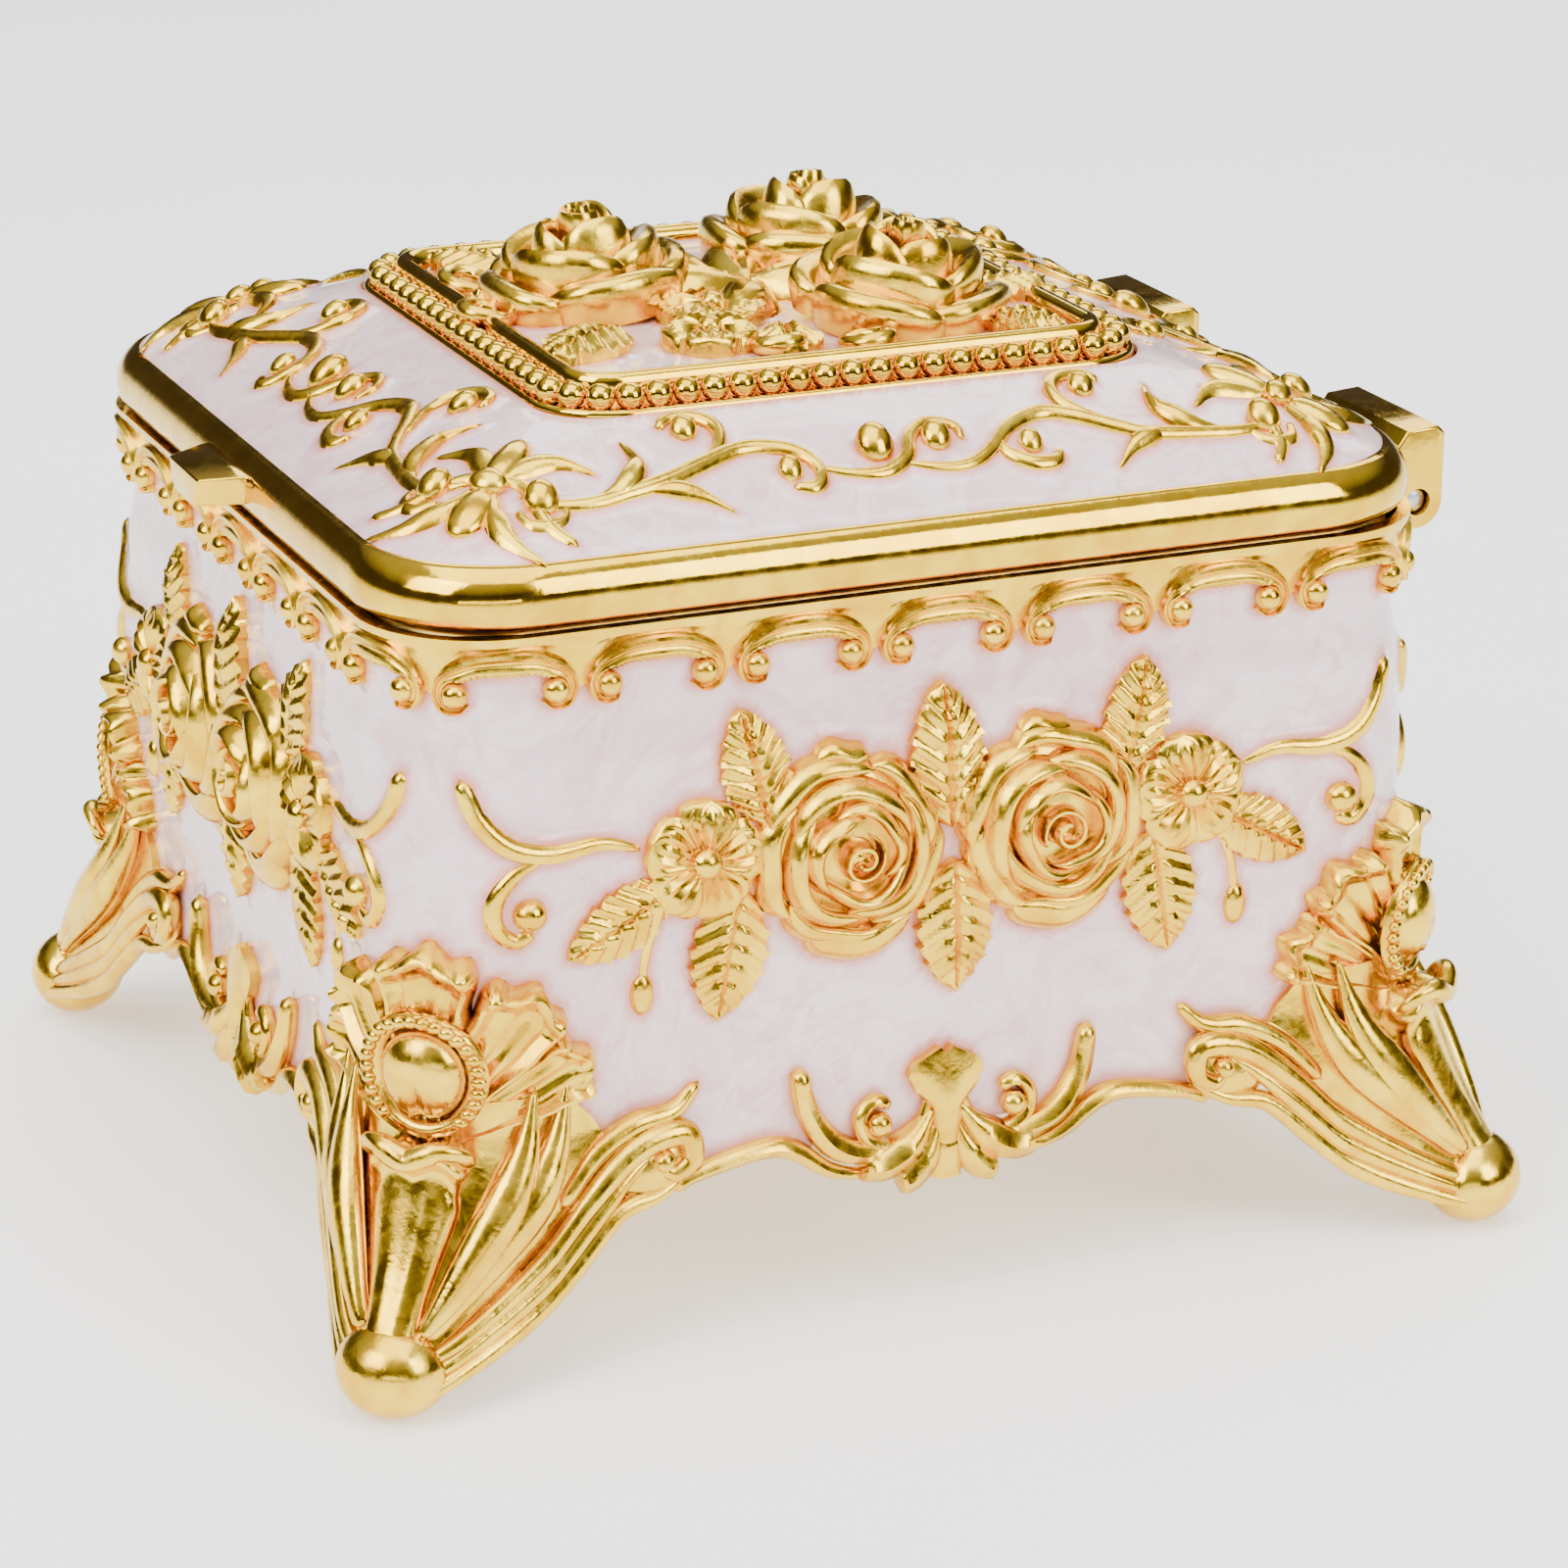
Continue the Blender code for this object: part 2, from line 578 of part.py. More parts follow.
def corner_knot(name, corner):
    """Star of leaves on the lid's border at a corner, with a flat back that stands clear of the dome."""
    slope = math.atan2(FRAME_FOOT - RIM_TOP, RIM_X - RIM_INSET - FRAME_HALF)
    reach = RIM_X - RIM_INSET + (FRAME_HALF + 3.0 - RIM_X + RIM_INSET) * KNOT_SHARE
    deep = RIM_Y - RIM_INSET + (FRAME_HALF + 3.0 - RIM_Y + RIM_INSET) * KNOT_SHARE
    radius = RIM_CORNER - RIM_INSET + (FRAME_CORNER + 1.5 - RIM_CORNER + RIM_INSET) * KNOT_SHARE
    inset = radius * (1 - math.cos(math.pi / 4))
    sx, sy = CORNERS[corner]
    points = []
    for i in range(KNOT_POINTS):
        turn = math.tau * i / KNOT_POINTS
        length = KNOT_RADII[i % 2]
        points.append((length * math.cos(turn), length * math.sin(turn)))
    bm = bmesh.new()
    skin_rings(bm, [[(x, y, z) for x, y in points] for z in (0, KNOT_THICK)])
    bmesh.ops.rotate(bm, matrix=Matrix.Rotation(slope * 0.72, 3, "Y"), verts=bm.verts)
    bmesh.ops.rotate(bm, matrix=Matrix.Rotation(math.atan2(sy, sx), 3, "Z"), verts=bm.verts)
    lift = border_height(KNOT_SHARE) + 2 * GAP
    bmesh.ops.translate(bm, vec=(sx * (reach - inset), sy * (deep - inset), lift), verts=bm.verts)
    return add_object(name, mesh_from(bm, name), GOLD)


def thumb_lift():
    """Faceted lug on the front of the rim."""
    bm = bmesh.new()
    front = -RIM_Y
    root = ((-5.2, 58.2), (5.2, 58.2), (5.2, 60.6), (-5.2, 60.6))
    tip = ((-2.6, 57.4), (2.6, 57.4), (4.0, 59.8), (-4.0, 59.8))
    rings = [[(x, front - GAP, z) for x, z in root], [(x, front - 3.4, z) for x, z in tip]]
    skin_rings(bm, rings)
    return add_object("thumb_lift", mesh_from(bm, "thumb_lift"), GOLD, smooth=False)


def knuckle_outline(reach, top, low):
    """Side view of a hinge leaf: round about the pin, then on to the casting at y = reach, z from low to top."""
    points = []
    start, sweep = (math.radians(0), math.radians(-180))
    for i in range(9):
        turn = start + sweep * i / 8
        points.append((HINGE_Y + KNUCKLE_RADIUS * math.cos(turn), HINGE_Z + KNUCKLE_RADIUS * math.sin(turn)))
    return points + [(reach, low), (reach, top), (HINGE_Y + KNUCKLE_RADIUS, top)]


def extruded_along_x(name, outline, x0, x1):
    bm = bmesh.new()
    skin_rings(bm, [[(x, y, z) for y, z in outline] for x in (x0, x1)])
    return add_object(name, mesh_from(bm, name), GOLD)


def bore(obj):
    """Cuts the pin's bore through obj."""
    bm = bmesh.new()
    bmesh.ops.create_cone(
        bm, cap_ends=True, segments=PIN_FACETS, radius1=BORE_RADIUS, radius2=BORE_RADIUS, depth=3 * ARM_OUTER,
    )
    bmesh.ops.rotate(bm, cent=(0, 0, 0), matrix=Matrix.Rotation(math.radians(90), 3, "Y"), verts=bm.verts)
    bmesh.ops.translate(bm, vec=(0, HINGE_Y, HINGE_Z), verts=bm.verts)
    cutter = piece(bm, obj.name + "_bore")
    cutter.hide_render = True
    cutter.display_type = "WIRE"
    cut = obj.modifiers.new("bore", "BOOLEAN")
    cut.operation = "DIFFERENCE"
    cut.object = cutter
    cut.solver = "EXACT"
    return obj


def hinge_arm(name, side):
    """Leaf on the back of the lid: a block that reaches down round the pin."""
    outline = knuckle_outline(RIM_Y + GAP, ARM_TOP, LID_BOTTOM)
    x0, x1 = sorted((side * ARM_INNER, side * ARM_OUTER))
    return bore(extruded_along_x(name, outline, x0, x1))


def hinge_barrel():
    """Knuckle on the back of the body between the two arms."""
    reach = HALF_Y + PENDANT_OUT + PENDANT.x + GAP
    points = []
    for i in range(9):
        turn = math.radians(-90 + 180 * i / 8)
        points.append((HINGE_Y + KNUCKLE_RADIUS * math.cos(turn), HINGE_Z + KNUCKLE_RADIUS * math.sin(turn)))
    points += [(reach, HINGE_Z + KNUCKLE_RADIUS), (reach, HINGE_Z - KNUCKLE_RADIUS)]
    width = ARM_INNER - GAP
    return bore(extruded_along_x("hinge_barrel", points, -width, width))


def hinge_pin():
    bm = bmesh.new()
    bmesh.ops.create_cone(
        bm, cap_ends=True, segments=PIN_FACETS, radius1=PIN_RADIUS, radius2=PIN_RADIUS, depth=2 * ARM_OUTER - 2 * PIN_RECESS,
    )
    bmesh.ops.rotate(bm, cent=(0, 0, 0), matrix=Matrix.Rotation(math.radians(90), 3, "Y"), verts=bm.verts)
    bmesh.ops.translate(bm, vec=(0, HINGE_Y, HINGE_Z), verts=bm.verts)
    return add_object("hinge_pin", mesh_from(bm, "hinge_pin"), STEEL)


def build_body():
    body_shell()
    body_enamel()
    inner = ENAMEL + GAP + WALL + 0.5 + 0.3
    slab("floor_lining", HALF_X - inner, HALF_Y - inner, CORNER - 2.6, BODY_BOTTOM + FLOOR + GAP,
         BODY_BOTTOM + FLOOR + 1.6, VELVET)
    gallery()
    foot, garland, palmette = foot_mesh(), garland_mesh(), palmette_mesh()
    for corner, where in enumerate(CORNER_NAMES):
        place_at_corner(add_object("foot_" + where, foot, GOLD), corner)
        for side, hand in ((1, "a"), (-1, "b")):
            wall_tendril(f"tendril_{where}_{hand}", corner, side)
    for face, where in enumerate(FACE_NAMES):
        place_on_face(add_object("garland_" + where, garland, GOLD), face)
        place_on_face(add_object("palmette_" + where, palmette, GOLD), face)
    hinge_barrel()
    hinge_pin()


def build_lid():
    """The lid's pieces hang from an empty on the hinge axis."""
    pivot = bpy.data.objects.new("lid_pivot", None)
    bpy.context.scene.collection.objects.link(pivot)
    pivot.location = (0, HINGE_Y * MM, HINGE_Z * MM)
    pieces = [lid_shell(), lid_border_enamel(), bead_frame(), leaf_spray(), thumb_lift()]
    pieces.append(slab("lid_panel_enamel", FRAME_HALF - 3.4, FRAME_HALF - 3.4, FRAME_CORNER,
                       PANEL_TOP - ENAMEL, PANEL_TOP, PEARL))
    pieces += [lid_rose(*rose) for rose in LID_ROSES]
    pieces += [hinge_arm("hinge_arm_right", 1), hinge_arm("hinge_arm_left", -1)]
    pieces += [corner_knot("lid_knot_" + where, corner) for corner, where in enumerate(CORNER_NAMES)]
    for face, where in enumerate(FACE_NAMES):
        for side, hand in ((1, "a"), (-1, "b")):
            pieces.append(lid_scroll(f"lid_scroll_{where}_{hand}", face, side))
    for obj in pieces:
        obj.parent = pivot
        obj.location = Vector(obj.location) - pivot.location


def main():
    clear_scene()
    build_body()
    build_lid()


main()
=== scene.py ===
"""Footed trinket box: gilt castings, pearl enamel panels and a hinged, domed lid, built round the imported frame.

Lengths are in millimetres while a piece is made and become metres when its mesh is stored.
"""

import logging
import math
from collections.abc import Callable, Iterable, Sequence
from dataclasses import dataclass, field
from enum import Enum

import bmesh
import bpy
from bmesh.types import BMesh, BMEdge, BMVert
from bpy.types import Material, Node, NodeSocket, Object
from mathutils import Matrix, Vector
from mathutils.bvhtree import BVHTree


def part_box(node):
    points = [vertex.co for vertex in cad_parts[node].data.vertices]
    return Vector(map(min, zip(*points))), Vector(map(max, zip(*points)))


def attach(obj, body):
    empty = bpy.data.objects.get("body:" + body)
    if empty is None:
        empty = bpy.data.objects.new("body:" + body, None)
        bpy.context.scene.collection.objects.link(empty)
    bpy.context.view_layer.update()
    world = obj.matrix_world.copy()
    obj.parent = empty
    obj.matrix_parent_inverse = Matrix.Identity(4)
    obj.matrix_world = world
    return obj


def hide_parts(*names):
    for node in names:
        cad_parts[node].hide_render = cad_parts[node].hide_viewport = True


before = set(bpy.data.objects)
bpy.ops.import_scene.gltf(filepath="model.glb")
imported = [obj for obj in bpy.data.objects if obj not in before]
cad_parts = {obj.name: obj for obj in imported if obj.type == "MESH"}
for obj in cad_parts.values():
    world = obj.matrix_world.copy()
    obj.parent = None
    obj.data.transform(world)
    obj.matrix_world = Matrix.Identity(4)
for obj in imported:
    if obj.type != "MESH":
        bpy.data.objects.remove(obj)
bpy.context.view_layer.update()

LOG = logging.getLogger("trinket_box")
MM = 0.001
SHARP = math.radians(48)
Flat = tuple[float, float]


class Side(Enum):
    """The four walls, anticlockwise seen from above; the value is the number of quarter turns from +X."""

    RIGHT = 0
    REAR = 1
    LEFT = 2
    FRONT = 3

    @property
    def word(self) -> str:
        """The wall's name as the frame's nodes spell it."""
        return self.name.lower()

    @property
    def matrix(self) -> Matrix:
        """Turn that takes the +X wall to this one."""
        return Matrix.Rotation(math.radians(90 * self.value), 3, "Z")


class Corner(Enum):
    """The four corners, anticlockwise; the value is the number of quarter turns from the +X +Y corner."""

    REAR_RIGHT = 0
    REAR_LEFT = 1
    FRONT_LEFT = 2
    FRONT_RIGHT = 3

    @property
    def word(self) -> str:
        """The corner's name as the frame's nodes spell it."""
        return self.name.lower()

    @property
    def signs(self) -> Flat:
        """Signs of x and y at this corner."""
        return ((1, 1), (-1, 1), (-1, -1), (1, -1))[self.value]


# --------------------------------------------------------------------------------------------------------------
# Small shape tools
# --------------------------------------------------------------------------------------------------------------


def mix(a: float, b: float, t: float) -> float:
    """Value between a and b at share t."""
    return a + (b - a) * t


def smooth(t: float) -> float:
    """Share eased in and out, held between 0 and 1."""
    t = min(1.0, max(0.0, t))
    return t * t * (3 - 2 * t)


def along(table: Sequence[Flat], x: float) -> float:
    """Reads a table of (position, value) pairs with eased steps between its rows.

    Args:
        table: Rows in rising order of position.
        x: Where to read.

    Returns:
        The value at x, held at the ends.
    """
    if x <= table[0][0]:
        return table[0][1]
    for (x0, y0), (x1, y1) in zip(table, table[1:]):
        if x <= x1:
            return mix(y0, y1, smooth((x - x0) / (x1 - x0)))
    return table[-1][1]


def flowing(points: Sequence[Sequence[float]], per_span: int = 6) -> list[Vector]:
    """Smooth curve through the points.

    Args:
        points: Points with two or three coordinates.
        per_span: Steps from one point to the next.

    Returns:
        Points of a Catmull-Rom curve, in three coordinates.
    """
    knots = [Vector((p[0], p[1], p[2] if len(p) > 2 else 0.0)) for p in points]
    knots = [2 * knots[0] - knots[1], *knots, 2 * knots[-1] - knots[-2]]
    curve: list[Vector] = []
    for a, b, c, d in zip(knots, knots[1:], knots[2:], knots[3:]):
        for i in range(per_span):
            t = i / per_span
            curve.append(0.5 * (2 * b + (c - a) * t + (2 * a - 5 * b + 4 * c - d) * t**2
                                + (3 * b - a - 3 * c + d) * t**3))
    return [*curve, knots[-2]]


def surface(across: int, deep: int, shape: Callable[[float, float], Sequence[float]], weld: bool = True) -> BMesh:
    """Grid whose points are moved onto a surface.

    Args:
        across: Steps in the first direction.
        deep: Steps in the second direction.
        shape: Gives a point from two shares, each from 0 to 1.
        weld: Merge the points that fall on each other, as along a seam or at a pole.

    Returns:
        The surface.
    """
    bm = bmesh.new()
    bmesh.ops.create_grid(bm, x_segments=across, y_segments=deep, size=1.0)
    for vert in bm.verts:
        vert.co = shape((vert.co.x + 1) / 2, (vert.co.y + 1) / 2)
    if weld:
        bmesh.ops.remove_doubles(bm, verts=bm.verts, dist=1e-4)
    return bm


def backed(bm: BMesh, floor: float) -> BMesh:
    """Drops the rim of an open relief to a floor and closes its back.

    Args:
        bm: Relief that faces +Z.
        floor: Height of the back.

    Returns:
        The same mesh, closed.
    """
    rim = [e for e in bm.edges if e.is_boundary]
    grown = bmesh.ops.extrude_edge_only(bm, edges=rim)["geom"]
    for vert in (g for g in grown if isinstance(g, BMVert)):
        vert.co.z = floor
    bmesh.ops.contextual_create(bm, geom=[g for g in grown if isinstance(g, BMEdge)])
    return bm


def ball(sizes: Sequence[float], segments: int = 14, rings: int = 9) -> BMesh:
    """Ellipsoid with the given half sizes, about the origin."""
    bm = bmesh.new()
    bmesh.ops.create_uvsphere(bm, u_segments=segments, v_segments=rings, radius=1.0)
    bmesh.ops.scale(bm, vec=Vector(sizes), verts=bm.verts)
    return bm


def rod(path: Sequence[Vector], radius: Callable[[float], float], sides: int = 8, flat: float = 1.0) -> BMesh:
    """Rod of changing thickness that follows a path lying roughly in the XY plane.

    Args:
        path: Points along the middle of the rod.
        radius: Radius at a share of the path.
        sides: Sides of the section.
        flat: Height of the section over its width.

    Returns:
        The rod, closed where the radius is 0.
    """
    last = len(path) - 1
    loop = (path[0] - path[last]).length < 1e-6
    stations: list[tuple[Vector, Vector, float]] = []
    for i, point in enumerate(path):
        before, after = path[max(i - 1, 0)], path[min(i + 1, last)]
        if loop:
            before, after = path[(i - 1) % last], path[(i + 1) % last]
        heading = after - before
        heading.z = 0
        side = Vector((-heading.y, heading.x, 0)).normalized()
        stations.append((point, side, radius(i / last)))

    def shape(u: float, v: float) -> Vector:
        """Point of the surface at shares u and v."""
        point, side, r = stations[round(u * last)]
        turn = math.tau * v
        return point + side * (r * math.cos(turn)) + Vector((0, 0, r * flat * math.sin(turn)))

    return surface(last, sides, shape)


def swelling(thick: float, start: float, end: float) -> Callable[[float], float]:
    """Radius rule for a stem: thin tips, full in between.

    Args:
        thick: Largest radius.
        start: Share of the largest radius near the first tip.
        end: Share near the last tip.

    Returns:
        A rule from share of the path to radius, 0 at both tips.
    """

    def rule(t: float) -> float:
        """Thickness at a share of the length."""
        body = mix(start, 1.0, smooth(t / 0.45)) if t < 0.45 else mix(1.0, end, smooth((t - 0.45) / 0.55))
        tip = min(1.0, min(t, 1 - t) / 0.09)
        return thick * body * math.sqrt(max(0.0, tip * (2 - tip)))

    return rule


def stem(points: Sequence[Sequence[float]], thick: float, start: float = 0.35, end: float = 0.35,
         lift: float = 0.1, flat: float = 0.9, per_span: int = 6) -> BMesh:
    """Curving stem laid on the surface.

    Args:
        points: Points it runs through.
        thick: Largest radius.
        start: Share of that radius at the first tip.
        end: Share at the last tip.
        lift: Height of its middle above the surface.
        flat: Height of its section over the width.
        per_span: Steps between points.

    Returns:
        The stem.
    """
    path = [p + Vector((0, 0, lift)) for p in flowing(points, per_span)]
    return rod(path, swelling(thick, start, end), 8, flat)


def rounded_ring(half_x: float, half_y: float, radius: float, steps: int, z: float = 0.0,
                 along_side: int = 1) -> list[Vector]:
    """Points of a rectangle with round corners, anticlockwise from the middle of the +X side's upper end.

    Args:
        half_x: Half width.
        half_y: Half depth.
        radius: Radius of the corners.
        steps: Steps round each corner.
        z: Height.
        along_side: Steps along each straight side.

    Returns:
        The ring's points.
    """
    ring: list[Vector] = []
    for corner in Corner:
        sx, sy = corner.signs
        centre = Vector((sx * (half_x - radius), sy * (half_y - radius), z))
        for i in range(steps + 1):
            turn = math.radians(90) * (corner.value + i / steps)
            ring.append(centre + Vector((radius * math.cos(turn), radius * math.sin(turn), 0)))
        nx, ny = Corner((corner.value + 1) % 4).signs
        turn = math.radians(90) * (corner.value + 1)
        end = Vector((nx * (half_x - radius), ny * (half_y - radius), z))
        end += Vector((radius * math.cos(turn), radius * math.sin(turn), 0))
        start = ring[-1]
        ring.extend(start.lerp(end, i / along_side) for i in range(1, along_side))
    return ring


def lofted(rings: Sequence[Sequence[Vector]], loop: bool = False) -> BMesh:
    """Skin over rings of equal count.

    Args:
        rings: Rings from the first to the last.
        loop: Join the last ring to the first; otherwise both ends are capped.

    Returns:
        The closed mesh.
    """
    rows = [*rings, rings[0]] if loop else list(rings)
    count = len(rows[0])

    def shape(u: float, v: float) -> Vector:
        """Point of the surface at shares u and v."""
        return rows[round(v * (len(rows) - 1))][round(u * count) % count]

    bm = surface(count, len(rows) - 1, shape)
    if not loop:
        open_edges = [e for e in bm.edges if e.is_boundary]
        bmesh.ops.holes_fill(bm, edges=open_edges, sides=0)
    return bm


class Casting:
    """A piece built up from parts, in coordinates of its own until it is bent into place."""

    def __init__(self) -> None:
        """Starts empty."""
        self.bm = bmesh.new()

    def add(self, part: BMesh, at: Sequence[float] = (0, 0, 0), turn: float = 0.0, size: float = 1.0,
            mirror: bool = False, tilt: float = 0.0) -> "Casting":
        """Adds a part and frees it.

        Args:
            part: The part's mesh.
            at: Where its origin goes.
            turn: Turn about Z, in degrees.
            size: Scale.
            mirror: Mirror the placed part in the plane x = 0.
            tilt: Turn about its own Y first, in degrees.

        Returns:
            This casting.
        """
        place = Matrix.Translation(Vector(at)) @ Matrix.Rotation(math.radians(turn), 4, "Z")
        place = place @ Matrix.Rotation(math.radians(tilt), 4, "Y") @ Matrix.Scale(size, 4)
        if mirror:
            place = Matrix.Diagonal((-1, 1, 1, 1)) @ place
        bmesh.ops.transform(part, matrix=place, verts=part.verts)
        bmesh.ops.recalc_face_normals(part, faces=part.faces)
        mesh = bpy.data.meshes.new("part")
        part.to_mesh(mesh)
        part.free()
        self.bm.from_mesh(mesh)
        bpy.data.meshes.remove(mesh)
        return self

    def both(self, make: Callable[[], BMesh], at: Sequence[float] = (0, 0, 0), turn: float = 0.0,
             tilt: float = 0.0) -> "Casting":
        """Adds a part and its mirror image.

        Args:
            make: Makes the part.
            at: Where its origin goes, on the +X half.
            turn: Turn about Z, in degrees.
            tilt: Turn about its own Y first, in degrees.

        Returns:
            This casting.
        """
        self.add(make(), at, turn, tilt=tilt)
        return self.add(make(), at, turn, mirror=True, tilt=tilt)

    def bent(self, place: Callable[[Vector], Vector]) -> "Casting":
        """A copy of the casting with every point moved by a rule, faces kept outwards."""
        copy = Casting()
        copy.bm = self.bm.copy()
        for vert in copy.bm.verts:
            vert.co = place(vert.co)
        bmesh.ops.recalc_face_normals(copy.bm, faces=copy.bm.faces)
        return copy

    def tree(self) -> BVHTree:
        """Search tree over the casting's faces."""
        return BVHTree.FromBMesh(self.bm)

    def store(self, name: str, finish: "Finish", body: str, replaces: Iterable[str] = (), sharp: float = SHARP,
              outward: bool = False) -> Object:
        """Makes the scene's object from the casting.

        Args:
            name: The piece's name.
            finish: What it is made of.
            body: The body of the frame that it moves with.
            replaces: Nodes of the frame that it stands for.
            sharp: Angle past which an edge is shown sharp.
            outward: Recalculate the normals once more.

        Returns:
            The object.
        """
        if outward:
            bmesh.ops.recalc_face_normals(self.bm, faces=self.bm.faces)
        bmesh.ops.scale(self.bm, vec=(MM, MM, MM), verts=self.bm.verts)
        mesh = bpy.data.meshes.new(name)
        self.bm.to_mesh(mesh)
        self.bm.free()
        mesh.shade_smooth()
        mesh.set_sharp_from_angle(angle=sharp)
        mesh.materials.append(finish.material())
        obj = bpy.data.objects.new(name, mesh)
        bpy.context.scene.collection.objects.link(obj)
        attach(obj, body)
        replaced = list(replaces)
        if replaced:
            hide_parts(*replaced)
        LOG.info("%s: %d faces", name, len(mesh.polygons))
        return obj


# --------------------------------------------------------------------------------------------------------------
# Finishes
# --------------------------------------------------------------------------------------------------------------


class Recipe:
    """Nodes of one material, with short calls to add and join them."""

    def __init__(self, name: str) -> None:
        """Starts a material with its shader and object coordinates.

        Args:
            name: The material's name.
        """
        self.made = bpy.data.materials.new(name)
        self.made.use_nodes = True
        self.tree = self.made.node_tree
        self.shader = self.tree.nodes["Principled BSDF"]
        self.place = self.tree.nodes.new("ShaderNodeTexCoord").outputs["Object"]

    def node(self, kind: str, values: dict[str, object] | None = None, **settings: object) -> Node:
        """Adds a node.

        Args:
            kind: Its type, without the ShaderNode prefix.
            values: Values or outputs for its inputs.
            settings: Its settings.

        Returns:
            The node.
        """
        made = self.tree.nodes.new("ShaderNode" + kind)
        for key, value in settings.items():
            setattr(made, key, value)
        for key, value in (values or {}).items():
            self.feed(made.inputs[key], value)
        return made

    def feed(self, socket: NodeSocket, value: object) -> None:
        """Gives an input a value, or links it to an output."""
        if isinstance(value, NodeSocket):
            self.tree.links.new(value, socket)
        else:
            socket.default_value = value

    def noise(self, grain_mm: float, detail: float = 3.0, twist: float = 0.0,
              where: NodeSocket | None = None) -> NodeSocket:
        """Noise with a grain of the given size in millimetres."""
        values = {"Vector": where or self.place, "Scale": 1 / (grain_mm * MM), "Detail": detail, "Distortion": twist}
        return self.node("TexNoise", values).outputs["Fac"]

    def ramp(self, source: NodeSocket, stops: Sequence[tuple[float, Sequence[float]]]) -> NodeSocket:
        """Colour ramp.

        Args:
            source: What it reads.
            stops: Position and colour of each stop.

        Returns:
            The colour.
        """
        made = self.node("ValToRGB", {"Fac": source})
        elements = made.color_ramp.elements
        for i, (position, colour) in enumerate(stops):
            stop = elements[i] if i < 2 else elements.new(position)
            stop.position = position
            stop.color = (*colour, 1.0)
        return made.outputs["Color"]

    def span(self, source: NodeSocket, low: float, high: float, to_low: float, to_high: float) -> NodeSocket:
        """Maps a range of values onto another, held at the ends."""
        values = {"Value": source, "From Min": low, "From Max": high, "To Min": to_low, "To Max": to_high}
        return self.node("MapRange", values).outputs["Result"]

    def blend(self, share: NodeSocket | float, a: object, b: object, mode: str = "MIX") -> NodeSocket:
        """Mixes two colours."""
        made = self.node("Mix", data_type="RGBA", blend_type=mode)
        self.feed(made.inputs[0], share)
        self.feed(made.inputs[6], a)
        self.feed(made.inputs[7], b)
        return made.outputs[2]

    def bump(self, height: NodeSocket, strength: float, deep_mm: float, base: NodeSocket | None = None) -> NodeSocket:
        """Bump from a height, on top of another bump if one is given."""
        values = {"Height": height, "Strength": strength, "Distance": deep_mm * MM}
        if base:
            values["Normal"] = base
        return self.node("Bump", values).outputs["Normal"]

    def dress(self, **values: object) -> Material:
        """Sets the shader's inputs, named with underscores for spaces, and gives the material."""
        for key, value in values.items():
            self.feed(self.shader.inputs[key.replace("_", " ")], value)
        return self.made


@dataclass(frozen=True)
class Finish:
    """A finish: its material is made once and shared."""

    name: str
    slot: str

    def material(self) -> Material:
        """The finish's material."""
        return bpy.data.materials.get(self.name) or self.brew(Recipe(self.name))

    def brew(self, recipe: Recipe) -> Material:
        """Makes the material's nodes; each kind of finish has its own."""
        raise NotImplementedError


@dataclass(frozen=True)
class Gilding(Finish):
    """Gold plate over a casting, from satin and pitted to bright."""

    deep: tuple[float, float, float] = (0.76, 0.43, 0.01)
    light: tuple[float, float, float] = (0.95, 0.65, 0.05)
    smoothest: float = 0.12
    roughest: float = 0.32
    pits: float = 0.35
    pit_mm: float = 0.45

    def brew(self, recipe: Recipe) -> Material:
        """Colour drifts a little; roughness and fine pits come from the casting's skin."""
        drift = recipe.noise(3.2, 3.0, 0.4)
        skin = recipe.noise(self.pit_mm, 5.0, 0.2)
        worn = recipe.noise(1.3, 4.0, 0.6)
        tone = recipe.span(drift, 0.32, 0.68, 0.0, 1.0)
        colour = recipe.blend(tone, (*self.deep, 1), (*self.light, 1))
        rough = recipe.span(worn, 0.3, 0.72, self.smoothest, self.roughest)
        normal = recipe.bump(worn, self.pits * 0.6, 0.12)
        normal = recipe.bump(skin, self.pits, 0.05, normal)
        return recipe.dress(Base_Color=colour, Metallic=1.0, Roughness=rough, Normal=normal)


